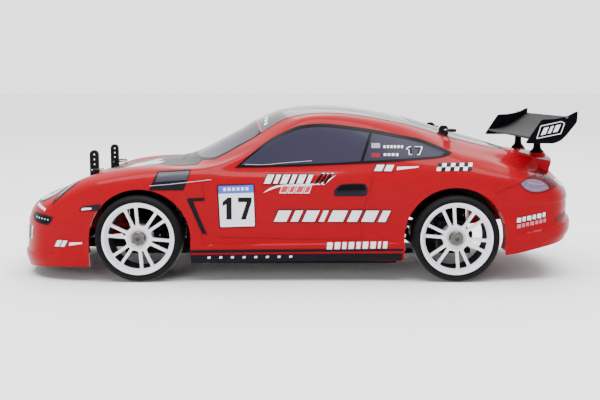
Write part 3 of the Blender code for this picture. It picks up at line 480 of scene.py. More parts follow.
def relief(p):
    """How far the skin steps in, in millimetres, at a point of the left half."""
    x, _, z = p
    step = 0.0
    # The ledge of the front bumper.
    nose = 1 - smoothstep(-119, -113, x)
    step -= 1.1 * nose * between(13.6, 30, 1.0, z) * (1 - 0.6 * smoothstep(20, 30, z))
    # The top edge of the sill.
    sill = between(-56, 64, 9, x)
    sill_line = 20.2 + 0.012 * x
    step -= 1.2 * sill * smoothstep(sill_line, sill_line + 0.8, z) * (1 - smoothstep(sill_line + 1, 40, z))
    # The ledge of the rear bumper, which rises towards the tail.
    tail = smoothstep(120, 126, x)
    tail_line = 25.0 + (x - 118) * 0.178
    step -= 1.2 * tail * smoothstep(tail_line, tail_line + 0.9, z) * (1 - smoothstep(tail_line + 1, 42, z))
    # The crease over the rear bumper.
    haunch = smoothstep(106, 116, x) * smoothstep(30, 39, z)
    crease = 40.8 + (x - 112) * 0.05
    step -= 0.8 * haunch * (1 - smoothstep(crease, crease + 1.8, z))
    # The hollow behind the door handle.
    handle = max(0.0, 1 - ((x - 29.5) / 10.0) ** 2 - ((z - 50.5) / 4.6) ** 2)
    step -= 1.1 * min(1.0, 2.2 * handle)
    return step


def shell_grid():
    """The outer skin of the left half as columns of points and normals, with its small steps cut in."""
    rows = [catmull(ring, STEPS_ALONG) for ring in SHELL_RINGS]
    columns = [catmull(column, STEPS_ACROSS) for column in zip(*rows)]
    count = len(columns)
    width = len(columns[0])
    made = []
    for i, column in enumerate(columns):
        line = []
        for k, p in enumerate(column):
            u = columns[min(i + 1, count - 1)][k] - columns[max(i - 1, 0)][k]
            v = column[min(k + 1, width - 1)] - column[max(k - 1, 0)]
            normal = v.cross(u)
            if normal.length < 1e-9:
                normal = Vector((0, 0, 1))
            normal.normalize()
            moved = p + normal * relief(p)
            line.append(Vector((moved.x, max(moved.y, 0.0) if p.y > 0.01 else 0.0, moved.z)))
        made.append(line)
    return made


def shell_skin():
    """Both halves of the outer skin, joined along the centreline."""
    columns = shell_grid()
    bm = bmesh.new()
    for side in (-1, 1):
        grid = [[bm.verts.new((p.x, side * p.y, p.z)) for p in column] for column in columns]
        for a, b in zip(grid, grid[1:]):
            for k in range(len(a) - 1):
                corners = (a[k], b[k], b[k + 1], a[k + 1])
                bm.faces.new(corners if side < 0 else corners[::-1])
    bmesh.ops.remove_doubles(bm, verts=bm.verts, dist=0.01)
    bmesh.ops.recalc_face_normals(bm, faces=bm.faces)
    roof = max(bm.faces, key=lambda f: f.calc_center_median().z)
    if roof.normal.z < 0:
        bmesh.ops.reverse_faces(bm, faces=bm.faces)
    return bm


skin = shell_skin()
skin_tree = BVHTree.FromBMesh(skin)

# For each view, where a line of sight starts, and its way.
VIEWS = {
    "left": (lambda u, v: Vector((u, -300, v)), Vector((0, 1, 0))),
    "right": (lambda u, v: Vector((u, 300, v)), Vector((0, -1, 0))),
    "top": (lambda u, v: Vector((u, v, 300)), Vector((0, 0, -1))),
    "nose": (lambda u, v: Vector((-400, u, v)), Vector((1, 0, 0))),
    "tail": (lambda u, v: Vector((400, u, v)), Vector((-1, 0, 0))),
}


def on_skin(view, u, v):
    """Where a straight line of sight meets the skin, and the skin's direction there."""
    start, way = VIEWS[view]
    spot, normal, *_ = skin_tree.ray_cast(start(u, v), way)
    if spot is None:
        return None
    if normal.dot(way) > 0:
        normal = -normal
    return spot, normal


def fine_loop(outline, longest):
    """An outline with its long edges split up."""
    made = []
    for i, p in enumerate(outline):
        a = Vector(p[:2])
        b = Vector(outline[(i + 1) % len(outline)][:2])
        pieces = max(1, math.ceil((b - a).length / longest))
        made += [a.lerp(b, k / pieces) for k in range(pieces)]
    return [p for i, p in enumerate(made) if (p - made[i - 1]).length > 1e-3]


STICKER_DEPTH = 0.2


def patch(view, outline, lift, grid):
    """A thin sticker that lies on the skin inside an outline drawn in the view's two axes.

    It stands proud of the skin by lift, and grid is the size of its faces.
    """
    loop = fine_loop(outline, grid)
    left, right = min(p.x for p in loop), max(p.x for p in loop)
    low, high = min(p.y for p in loop), max(p.y for p in loop)
    points = list(loop)
    edges = [(k, (k + 1) % len(loop)) for k in range(len(loop))]
    for i in range(int((right - left) / grid) + 1):
        for k in range(int((high - low) / grid) + 1):
            spot = Vector((left + (i + 0.5) * grid, low + (k + 0.5) * grid))
            near = min((spot - p).length for p in loop)
            if near > grid * 0.3 and inside(spot, loop):
                points.append(spot)
    verts, _, faces, *_ = delaunay_2d_cdt(points, edges, [list(range(len(loop)))], 1, 1e-4)
    bm = bmesh.new()
    tops = []
    lows = []
    for v in verts:
        found = on_skin(view, v.x, v.y)
        if found is None:
            tops.append(None)
            lows.append(None)
            continue
        spot, normal = found
        tops.append(bm.verts.new(spot + normal * lift))
        lows.append(bm.verts.new(spot - normal * STICKER_DEPTH))
    rim = {}
    for face in faces:
        if any(tops[i] is None for i in face):
            continue
        bm.faces.new([tops[i] for i in face])
        bm.faces.new([lows[i] for i in reversed(face)])
        for a, b in zip(face, [*face[1:], face[0]]):
            key = (min(a, b), max(a, b))
            rim[key] = None if key in rim else (a, b)
    for pair in rim.values():
        if pair:
            a, b = pair
            bm.faces.new((tops[b], tops[a], lows[a], lows[b]))
    bmesh.ops.delete(bm, geom=[v for v in bm.verts if not v.link_faces], context="VERTS")
    bmesh.ops.recalc_face_normals(bm, faces=bm.faces)
    return bm


def marks(name, view, outlines, paint_name, lift=0.24, edge=None, edge_paint="decal_black", grid=1.8):
    """Several stickers in one piece, with a border under them if edge, its width, is given.

    On the left side they get a twin on the right.
    """
    if edge:
        marks(f"{name}_edge", view, [grown(o, edge) for o in outlines], edge_paint, lift - 0.1)
    bm = merged(*[patch(view, o, lift, grid) for o in outlines])
    if view == "left":
        piece(f"{name}_right", mirrored(bm), paint_name)
        piece(f"{name}_left", bm, paint_name)
    else:
        piece(name, bm, paint_name)


def sticker(name, view, outline, paint_name, lift=0.16, grid=2.2):
    """One sticker as a piece."""
    marks(name, view, [outline], paint_name, lift, grid=grid)


def body_shell():
    """The painted shell: the skin given a wall, with its wheel arches and post holes cut."""
    mesh = bpy.data.meshes.new("shell")
    skin.to_mesh(mesh)
    thing = bpy.data.objects.new("painted_shell", mesh)
    bpy.context.scene.collection.objects.link(thing)
    wall = thing.modifiers.new("wall", "SOLIDIFY")
    wall.thickness = SHELL_WALL
    wall.offset = -1
    cutters = []
    for x, z, radius in ARCHES.values():
        arch = [*arc(x, z, radius, 0, 180, 72), (x - radius, -8), (x + radius, -8)]
        cutters += [upright([arch], side, 48, 80) for _, side in SIDES]
    drill = [(0, 40), (POST_HOLE_IN_SHELL, 40), (POST_HOLE_IN_SHELL, 95), (0, 95)]
    for x, y in (FRONT_POST, REAR_POST):
        cutters += [lathe(drill, "Z", (x, side * y, 0), 40) for _, side in SIDES]
    helpers = []
    for bm in cutters:
        helper_mesh = bpy.data.meshes.new("cutter")
        bm.to_mesh(helper_mesh)
        bm.free()
        helper = bpy.data.objects.new("cutter", helper_mesh)
        bpy.context.scene.collection.objects.link(helper)
        cut = thing.modifiers.new("cut", "BOOLEAN")
        cut.operation = "DIFFERENCE"
        cut.solver = "MANIFOLD"
        cut.object = helper
        helpers.append(helper)
    graph = bpy.context.evaluated_depsgraph_get()
    made = bmesh.new()
    made.from_object(thing, graph)
    for helper in [thing, *helpers]:
        bpy.data.objects.remove(helper, do_unlink=True)
    shell = piece("painted_shell", made, "red", smooth=50)
    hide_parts("body_shell")


body_shell()


def arch_lips():
    """The edge of each wheel arch folded inwards."""
    for end, (x, z, radius) in ARCHES.items():
        under, over = radius + 0.05, radius + 0.9
        for side_name, side in SIDES:
            bm = bmesh.new()
            rows = []
            for k in range(61):
                angle = math.radians(-14 + 208 * k / 60)
                way = Vector((math.cos(angle), 0, math.sin(angle)))
                found = on_skin("left", x + radius * way.x, z + radius * way.z)
                outer = -found[0].y - 0.5 if found else 60
                inner = outer - ARCH_LIP_DEPTH[end]
                section = ((under, outer), (under, inner), (over, inner), (over, outer))
                rows.append([bm.verts.new(Vector((x, side * y, z)) + r * way) for r, y in section])
            # At the front the black lip is painted shade in the gap over the tyre.
            piece(f"arch_lip_{end}_{side_name}", skinned(bm, rows), ARCH_LIP_PAINT[end])


arch_lips()


def arch_shade_panels():
    """A black panel inside each wheel arch, painted shade where the real car has no panel, further in at
    the front, where the tyres steer.
    """
    x, z, radius = ARCHES["rear"]
    rear_panel = [*arc(x, z, radius, 22, 158, 48), *arc(x, z, 19.5, 158, 22, 36)]
    x, z, _ = ARCHES["front"]
    front_panel = arc(x, z, 31.0, 29.5, 150.5, 48)
    for side_name, side in SIDES:
        for end, outline in (("front", front_panel), ("rear", rear_panel)):
            panel = upright([outline], side, SHADE_PANEL_Y[end], SHADE_PANEL_Y[end] + 0.6, 0.15, 1)
            # Each panel is painted black as painted shade in the arch.
            piece(f"arch_shade_panel_{end}_{side_name}", panel, "decal_black")


arch_shade_panels()


def ducktail():
    """The raised lip under the wing, lower and further forward towards its ends."""
    profile = rounded([(122.5, 70.6), (131.5, 69.5), (139, 68.62), (147.9, 67.4), (147.6, 64.4),
                       (147.0, 60.5), (146.4, 56.4), (126, 56.4)], 0.9, 4)
    half_width = 33
    steps = 12
    bm = bmesh.new()
    rows = []
    for k in range(-steps, steps + 1):
        share = k / steps
        end = 0.6 if abs(k) == steps else 0.0
        row = []
        for x, z in profile:
            back = smoothstep(126, 146, x)
            high = smoothstep(60, 66, z)
            pull = 2.2 * share ** 2 * back
            drop = 2.4 * share ** 2 * high * (0.35 + 0.65 * back)
            row.append(bm.verts.new((x - pull - end * back, half_width * share, z - drop - end * high)))
        rows.append(row)
    piece("ducktail", skinned(bm, rows), "red", smooth=35)


ducktail()


# Camera, floor and light

CAMERA_PLACE = (0.0014, -0.570, 0.104)
CAMERA_DIP = 6.61
LENS = 56.34
# The brightness of the surroundings, in front of the car and behind it.
WORLD_DARK = 0.34
WORLD_BRIGHT = 2.32
# Each lamp: its name, place, target, size and power, in metres and watts.
LAMPS = (
    ("key", (0.0, -0.25, 1.1), (0, 0, 0), (1.5, 0.55), 12),
    ("fill", (-0.6, -1.3, 0.35), (0, 0, 0.03), (1.0, 0.5), 12),
    ("back", (0.3, 0.9, 0.9), (0, 0, 0.03), (1.2, 0.4), 4),
)


def camera():
    """The camera, level with the roof and looking at the left side."""
    data = bpy.data.cameras.new("camera")
    data.lens = LENS
    data.sensor_width = 36
    data.clip_start = 0.01
    thing = bpy.data.objects.new("camera", data)
    thing.location = CAMERA_PLACE
    thing.rotation_euler = (math.radians(90 - CAMERA_DIP), 0, 0)
    bpy.context.scene.collection.objects.link(thing)
    bpy.context.scene.camera = thing


def stage_floor():
    """The floor, which the car's paint doesn't mirror."""
    bm = bmesh.new()
    bmesh.ops.create_grid(bm, x_segments=2, y_segments=2, size=40.0)
    floor_mesh = bpy.data.meshes.new("floor")
    bm.to_mesh(floor_mesh)
    bm.free()
    floor = bpy.data.objects.new("floor", floor_mesh)
    bpy.context.scene.collection.objects.link(floor)
    floor_mesh.materials.append(finish("floor", (0.9, 0.9, 0.9), 0.7, vary=0.005, grain=3, bump=0))
    floor.visible_glossy = False


def surroundings():
    """A white world that is brighter behind the car than in front of it."""
    world = bpy.data.worlds.new("studio")
    world.use_nodes = True
    nodes = world.node_tree.nodes
    link = world.node_tree.links.new
    background = nodes["Background"]
    background.inputs[0].default_value = (1, 1, 1, 1)
    direction = nodes.new("ShaderNodeTexCoord")
    split = nodes.new("ShaderNodeSeparateXYZ")
    ramp = nodes.new("ShaderNodeMapRange")
    ramp.inputs["From Min"].default_value = -0.2
    ramp.inputs["From Max"].default_value = 0.9
    ramp.inputs["To Min"].default_value = WORLD_DARK
    ramp.inputs["To Max"].default_value = WORLD_BRIGHT
    link(direction.outputs["Generated"], split.inputs[0])
    link(split.outputs["Y"], ramp.inputs["Value"])
    link(ramp.outputs[0], background.inputs[1])
    bpy.context.scene.world = world


def lights():
    """A wide overhead light and three panels; the paint mirrors only the key and back panels."""
    sun = bpy.data.lights.new("overhead", "SUN")
    sun.energy = 4.2
    sun.angle = math.radians(70)
    overhead = bpy.data.objects.new("overhead", sun)
    overhead.rotation_euler = (math.radians(-8), 0, 0)
    overhead.visible_glossy = False
    bpy.context.scene.collection.objects.link(overhead)
    for name, place, target, size, power in LAMPS:
        data = bpy.data.lights.new(name, "AREA")
        data.shape = "RECTANGLE"
        data.size, data.size_y = size
        data.energy = power
        lamp = bpy.data.objects.new(name, data)
        lamp.location = place
        lamp.rotation_euler = (Vector(target) - Vector(place)).to_track_quat("-Z", "Y").to_euler()
        lamp.visible_glossy = name != "fill"
        bpy.context.scene.collection.objects.link(lamp)


camera()
stage_floor()
surroundings()
lights()


# Wheels

WHEEL_Y = 55.0
RIM_FACE = (4.2, 6.5)
SPOKE_TURN = 45.0
SPOKE_LEAN = 10.4
SPOKE_HALF = 0.86
WINDOW_INNER = 7.3
WINDOW_OUTER = 17.1


def wheel_window(x, z, first, last):
    """The opening between two spokes that stand at the given angles."""
    outer = math.degrees(math.asin(SPOKE_HALF / WINDOW_OUTER))
    inner = math.degrees(math.asin(SPOKE_HALF / WINDOW_INNER))
    rim_side = arc(x, z, WINDOW_OUTER, first + outer, last - outer, 3)
    hub_side = arc(x, z, WINDOW_INNER, last - inner, first + inner, 1)
    return rounded([*rim_side, *hub_side], 1.15, 5)


def wheels():
    """Tyre, rim, wheel nut and axle end at each corner; profiles are (radius, way out from WHEEL_Y)."""
    for (end, side_name), axle in AXLES.items():
        side = -1 if side_name == "left" else 1
        tag = f"{end}_{side_name}"
        x, z = axle.x, axle.z
        centre = (x, side * WHEEL_Y, z)

        def turned(profile, sides=96):
            return lathe([(r, side * w) for r, w in profile], "Y", centre, sides)

        def flat(outlines, low, high, bevel):
            return upright(outlines, side, WHEEL_Y + low, WHEEL_Y + high, bevel)

        tread = turned([(19.0, 8.2), (19.9, 8.9), (20.6, 9.3), (21.5, 9.5), (21.7, 9.75), (22.0, 9.78),
                        (22.2, 9.5), (22.9, 9.1), (23.5, 8.3), (23.82, 7.1), (23.88, 5.0), (23.88, -5.0),
                        (23.82, -7.1), (23.5, -8.3), (22.9, -9.1), (21.5, -9.6), (20.3, -9.2),
                        (19.0, -8.6)], 120)
        tyre = piece(f"slick_tyre_{tag}", tread, "tyre", f"wheel_{tag}")
        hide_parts(f"tyre_{tag}")

        lip = turned([(19.95, 9.1), (19.8, 9.55), (19.3, 9.72), (18.7, 9.5), (18.1, 8.6), (17.8, 7.2),
                      (17.2, 6.3), (17.1, 5.2), (18.3, 5.0), (18.4, 6.2), (19.0, 8.0), (19.9, 8.7)])
        # The barrel is painted dark as painted shade behind the spoke windows, where the rim itself is
        # white.
        barrel = turned([(18.2, 4.9), (17.0, 4.9), (16.9, 4.0), (16.9, -8.4), (18.2, -9.2), (19.3, -9.2),
                         (19.3, -8.6), (18.4, -7.4)])
        piece(f"rim_barrel_{tag}", barrel, "rim_painted_shade", f"wheel_{tag}", 35)
        windows = []
        for k in range(6):
            lean = SPOKE_TURN + 60 * k
            windows.append(wheel_window(x, z, lean - SPOKE_LEAN, lean + SPOKE_LEAN))
            windows.append(wheel_window(x, z, lean + SPOKE_LEAN, lean + 60 - SPOKE_LEAN))
        rim_edge = circle(x, z, 17.5, 72)
        centre_hole = circle(x, z, 4.9, 32)
        face = flat([rim_edge, centre_hole, *windows], *RIM_FACE, 0.38)
        hub = turned([(1.6, -4.8), (6.2, -4.8), (6.9, -4.2), (7.2, 6.0), (7.0, 6.8), (6.5, 7.1), (5.9, 6.9),
                      (5.3, 6.0), (5.1, 5.2), (1.6, 5.2)], 64)
        rim = piece(f"spoked_rim_{tag}", merged(lip, face, hub), "white_rim", f"wheel_{tag}", 35)
        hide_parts(f"rim_{tag}")

        hexagon = arc(x, z, 3.3, 12, 312, 5)
        nut = flat([hexagon, circle(x, z, 2.0, 24)], 6.4, 9.0, 0.4)
        flange = turned([(1.6, 5.3), (4.0, 5.3), (4.1, 5.6), (4.0, 6.1), (3.5, 6.5), (1.6, 6.5)], 40)
        piece(f"wheel_nut_{tag}", merged(nut, flange), "nut", f"wheel_{tag}", 35)
        stub = turned([(0, 7.0), (1.62, 7.0), (1.62, 9.35), (1.3, 9.65), (0, 9.7)], 28)
        piece(f"axle_end_{tag}", stub, "nut", f"wheel_{tag}", 35)


wheels()


# Posts and clips

POST_HALF = 2.5
POST_HOLE = 0.58
FRONT_POST_TOP = 70.4
REAR_POST_TOP = 84.4
FRONT_HOLES = (59.4, 62.2, 65.0, 67.8)
REAR_HOLES = (82.0,)


def post(x, y, low, top, holes):
    """A flat body post with a round top and a row of clip holes."""
    edge = [(x - POST_HALF, low), (x + POST_HALF, low), *arc(x, top - POST_HALF, POST_HALF, 0, 180, 16)]
    drilled = [circle(x, z, POST_HOLE, 16) for z in holes]
    return plate([edge, *drilled], y - 1.5, y + 1.5, "Y", 0.3, 2)


def front_mount():
    """The front body posts on their cross piece and bumper, and the tops of the rear posts."""
    outline = rounded([(-151, -22), (-143, -36), (-128, -40), (-128, 40), (-143, 36), (-151, 22)], 4, 6)
    bumper = plate([outline], 9.2, 14.8, "Z", 0.9, 3)
    tongue = plate([rounded([(-130, -9), (-104.5, -9), (-104.5, 9), (-130, 9)], 2)], 10.5, 13.8, "Z", 0.4)
    riser = plate([rounded([(-6, 11), (6, 11), (4.5, 40), (-4.5, 40)], 1.5)], -118.4, -115.6, "X", 0.4)
    beam = plate([rounded([(-31, 36), (31, 36), (31, 41), (-31, 41)], 1.5)], -118.2, -115.8, "X", 0.4)
    x, y = FRONT_POST
    posts = [post(x, side * y, 35.2, FRONT_POST_TOP, FRONT_HOLES) for _, side in SIDES]
    mount = piece("front_posts", merged(bumper, tongue, riser, beam, *posts), "nylon", smooth=35)
    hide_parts("front_body_mount")
    # The tops stand a little proud of the posts below them.
    x, y = REAR_POST
    tops = [post(x, side * y, 60, REAR_POST_TOP, REAR_HOLES) for _, side in SIDES]
    for (_, side), bm in zip(SIDES, tops):
        for vert in bm.verts:
            vert.co.x = x + (vert.co.x - x) * 1.03
            vert.co.y = side * y + (vert.co.y - side * y) * 1.06
    piece("rear_post_tops", merged(*tops), "nylon", smooth=35)


def clips():
    """R-clips of bent wire with a soft pull tab."""
    places = (("front", *FRONT_POST, FRONT_HOLES[0]), ("rear", *REAR_POST, REAR_HOLES[0]))
    for end, x, y, z in places:
        for side_name, side in SIDES:
            loop = [(x + 2.6 + 2.6 * math.sin(math.radians(a)),
                     side * (y + 5.5 + 2.6 * math.cos(math.radians(a))), z)
                    for a in range(-90, 170, 12)]
            springy = catmull([(x + 3.9, side * (y + 3.2), z), (x + 3.0, side * (y + 1.0), z),
                               (x + 3.0, side * (y - 1.0), z), (x + 4.6, side * (y - 2.6), z)], 6)
            path = [(x, side * (y - 4.4), z), (x, side * (y + 2), z), *loop, *springy]
            body = f"{end}_clip_{side_name}"
            pin = piece(f"{end}_r_clip_{side_name}", wire(path, 0.58, 12), "steel", body)
            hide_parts(body)
            outline = rounded([(x + 0.6, side * (y + 6.6)), (x + 4.6, side * (y + 6.6)),
                               (x + 5.6, side * (y + 13.2)), (x + 1.4, side * (y + 13.2))], 1.4)
            tab = plate([outline], z - 0.85, z + 0.85, "Z", 0.35, 2)
            piece(f"{end}_clip_tab_{side_name}", tab, "nylon", body, 35)


front_mount()
clips()


# Wing

def wing():
    """The wing's blade, end plates and stays, with the marks and screws on its ends."""
    upper = catmull([(126.6, 79.0, 0), (132.6, 80.0, 0), (140.2, 82.6, 0), (147.2, 86.8, 0),
                     (151.6, 90.0, 0)], 6)
    lower = catmull([(151.8, 89.1, 0), (147.6, 85.4, 0), (140.8, 80.4, 0), (133.2, 77.8, 0),
                     (126.6, 78.0, 0)], 6)
    foil = [(p.x, p.y) for p in [*upper, *lower]]
    blade = plate([foil], -56.2, 56.2, "Y", 0.15, 1)
    outline = [(124.5, 75.6), (133.0, 88.7), (140.0, 89.0), (146.8, 90.4), (152.6, 93.4), (152.3, 87.2),
               (146.4, 79.6), (143.6, 77.0), (139.9, 75.6)]
    ends = [upright([rounded(outline, 1.3)], side, 56.0, 57.45, 0.3) for _, side in SIDES]
    turned = [(0, 68.7), (4.0, 68.7), (4.0, 69.4), (3.2, 70.0), (2.3, 71.2), (2.0, 73.0), (2.0, 77.4),
              (2.6, 79.2), (2.6, 80.4), (0, 80.4)]
    x, y = STAY
    posts = [lathe(turned, "Z", (x, side * y, 0), 36) for _, side in SIDES]
    made = piece("wing", merged(blade, *ends, *posts), "wing_black", smooth=35)
    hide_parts("rear_wing")
    frame_line = [(130.5, 78.4), (132.6, 85.2), (143.8, 87.6), (145.4, 86.5), (143.5, 81.0)]
    frame_bars = [strip([p, q], 0.42) for p, q in zip(frame_line, [*frame_line[1:], frame_line[0]])]
    bars = [[(132.6, 80.1), (135.2, 80.7), (136.9, 84.7), (134.3, 84.1)],
            [(136.4, 81.0), (138.0, 81.3), (139.7, 85.3), (138.1, 85.0)],
            [(139.2, 81.6), (141.8, 82.2), (143.5, 86.1), (140.9, 85.6)]]
    for side_name, side in SIDES:
        drawn = [upright([bar], side, 57.3, 57.55) for bar in [*frame_bars, *bars]]
        piece(f"wing_mark_{side_name}", merged(*drawn), "white")
        cap = lathe([(0, 57.3), (0.9, 57.3), (0.8, 57.5), (0, 57.5)], "Y", (0, 0, 0), 20)
        if side < 0:
            cap = mirrored(cap)
        bmesh.ops.translate(cap, verts=cap.verts, vec=(146.6, 0, 90.0))
        piece(f"wing_screw_{side_name}", cap, "steel")


wing()


# Springs

def springs():
    """A coil spring round each shock absorber."""
    for end, end_sign in ENDS:
        for side_name, side in SIDES:
            tag = f"{end}_{side_name}"
            x = AXLES[end, side_name].x - end_sign * 6
            head = Vector((x, side * 24, 46))
            foot = Vector((x, side * 32, 21.8))
            along = (foot - head).normalized()
            turn = Vector((0, 0, 1)).rotation_difference(along)
            start, stop, coils = 5.0, (foot - head).length - 4.6, 5.5
            steps = int(coils * 20)
            path = []
            for k in range(steps + 1):
                t = k / steps
                angle = 2 * math.pi * coils * t
                spot = Vector((3.35 * math.cos(angle), 3.35 * math.sin(angle), start + (stop - start) * t))
                path.append(head + turn @ spot)
            spring = piece(f"spring_{tag}", wire(path, 0.42, 8), "spring", None, 60)
            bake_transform(spring)


springs()

# Markings and trim on the shell

def both(outline):
    """An outline drawn for one half of a top, nose or tail view, closed by its own mirror image."""
    if isinstance(outline[0], tuple):
        return [*outline, *[(u, -v) for u, v in reversed(outline)]]
    return outline


def oval(cx, cy, rx, ry, lean=0.0, count=36):
    """An ellipse, leaning by an angle in radians."""
    made = []
    for k in range(count):
        t = 2 * math.pi * k / count
        u, v = rx * math.cos(t), ry * math.sin(t)
        made.append((cx + u * math.cos(lean) - v * math.sin(lean),
                     cy + u * math.sin(lean) + v * math.cos(lean)))
    return made


def slashes(x0, x1, z0, z1, widths, gap=0.9, slant=0.45, rise=0.0):
    """A row of slanted bars that fills a box."""
    total = sum(widths) + gap * (len(widths) - 1)
    scale = (x1 - x0 - slant * (z1 - z0)) / total
    made = []
    at = x0
    for width in widths:
        low = z0 + rise * (at - x0)
        high = low + z1 - z0
        lean = slant * (high - low)
        made.append([(at, low), (at + width * scale, low), (at + width * scale + lean, high),
                     (at + lean, high)])
        at += (width + gap) * scale
    return made


def grown(outline, amount):
    """A convex outline pushed outwards."""
    middle = sum((Vector(p) for p in outline), Vector((0, 0))) / len(outline)
    made = []
    for p in outline:
        away = Vector(p) - middle
        made.append(middle + Vector((away.x + math.copysign(amount, away.x),
                                     away.y + math.copysign(amount, away.y))))
    return made


def windows():
    """The side windows, windscreen, roof stripe and rear window."""
    top = curve([(-34.2, 62.2), (-25.8, 69.4), (-15.1, 77.4), (-3.2, 83.3), (3.5, 85.1), (14.8, 85.9),
                 (29.9, 84.3), (45, 82.1), (57.6, 79.5), (68.3, 77.4), (77.2, 74.1), (83.5, 71.2)], 5)
    low = curve([(85.3, 70.2), (81.7, 68.5), (75.9, 67.4), (67.1, 66.7), (45.4, 65), (7.2, 63.2),
                 (-20, 62.4)], 5)
    sticker("side_window_border", "left", [*top, *low], "gloss_black", 0.28, 1.7)
    front = [*curve([(-31.2, 63.6), (-24.2, 69.2), (-14.0, 76.2), (-2.5, 81.5), (3.8, 83.2), (14.7, 83.9),
                     (29.6, 82.3), (40.0, 80.8)], 5),
             *curve([(34.6, 65.6), (20, 64.7), (7, 64.2), (-14, 63.5)], 4)]
    sticker("side_glass_front", "left", front, "glass", 0.36, 1.7)
    rear = [*curve([(41.6, 80.5), (57.2, 77.6), (67.8, 75.4), (76.2, 72.4), (81.4, 70.2)], 5),
            *curve([(79.0, 68.9), (75.5, 68.4), (67.0, 67.7), (45.3, 66.2), (36.3, 65.7)], 4)]
    sticker("side_glass_rear", "left", rear, "glass", 0.36, 1.7)
    sticker("side_window_gleam", "left",
            strip(curve([(-29, 63.9), (-18, 63.7), (-8, 64.6), (8, 65.8)], 4), 0.22), "pale", 0.42)
    screen = [*curve([(-60.5, 0), (-60.2, 12), (-58.6, 24), (-54.5, 34), (-47.0, 41.6)], 6),
              *curve([(-40.5, 41.0), (-33.6, 39.8), (-20.4, 36.9)], 5)]
    border = both([*screen, *curve([(-15, 35.4), (-11.1, 34.2)], 3)])
    sticker("windscreen_border", "top", border, "gloss_black", 0.14, 2.8)
    pane = both([*curve([(-59.2, 0), (-58.9, 12), (-57.3, 23.5), (-53.3, 32.8), (-46.6, 39.4)], 6),
                 *curve([(-40.5, 39.2), (-33.6, 38.2), (-22.0, 35.4), (-23.6, 18), (-24.6, 0)], 5)])
    sticker("windscreen_glass", "top", pane, "screen_glass", 0.26, 2.8)
    line = curve([(-24.8, 0), (-24.2, 10), (-22.8, 24), (-20.2, 36.6)], 6)
    line = [(x, -y) for x, y in reversed(line[1:])] + line
    sticker("windscreen_line", "top", strip(line, 0.7), "red_sign", 0.34)
    roof = both([*curve([(-24.6, 0), (-23.4, 18), (-20.4, 36.9)], 4),
                 *curve([(-11.1, 34.2), (-6, 33.4), (5, 33.2), (40, 33.4), (75, 34.0), (100, 33.6),
                         (111, 32.2), (117.5, 28), (120.5, 18), (121.5, 0)], 5)])
    sticker("roof_stripe", "top", roof, "stripe_black", 0.2, 3.0)
    back = both([*curve([(62.0, 0), (62.4, 14), (64.4, 25.6)], 5),
                 *curve([(85, 24.4), (106, 22.6), (112.5, 16), (114, 0)], 5)])
    sticker("rear_glass", "top", back, "screen_glass", 0.32, 3.0)


def hood():
    """The dark stripe on the hood, with what lies on it."""
    outline = both([*curve([(-149, 0), (-148.6, 8), (-146.2, 18), (-140.5, 26.5), (-131, 31.5),
                            (-120, 33.8), (-102, 35), (-84, 36), (-68, 38.2), (-56.6, 41.0)], 5),
                    *curve([(-54.6, 34.4), (-58.6, 24.4), (-60.3, 12), (-60.6, 0)], 4)])
    sticker("hood_stripe", "top", outline, "hood_black", 0.2, 2.8)
    splash = [(-106, -22), (-101, -26.5), (-94, -28.5), (-86, -27), (-80.5, -29), (-77, -24), (-82, -19.5),
              (-79, -13), (-84, -9), (-91, -12), (-97, -8), (-101, -13), (-108, -15)]
    marks("hood_splash", "top", [splash, [(x, -y) for x, y in splash[::-1]]], "pale", 0.3)
    marks("nose_badge", "top", [oval(-146.0, 0, 1.3, 4.2)], "grey", 0.32)
    marks("cowl_slot", "top", [strip([(-66.5, y) for y in range(-22, 23, 4)], 1.6)], "decal_black", 0.32)


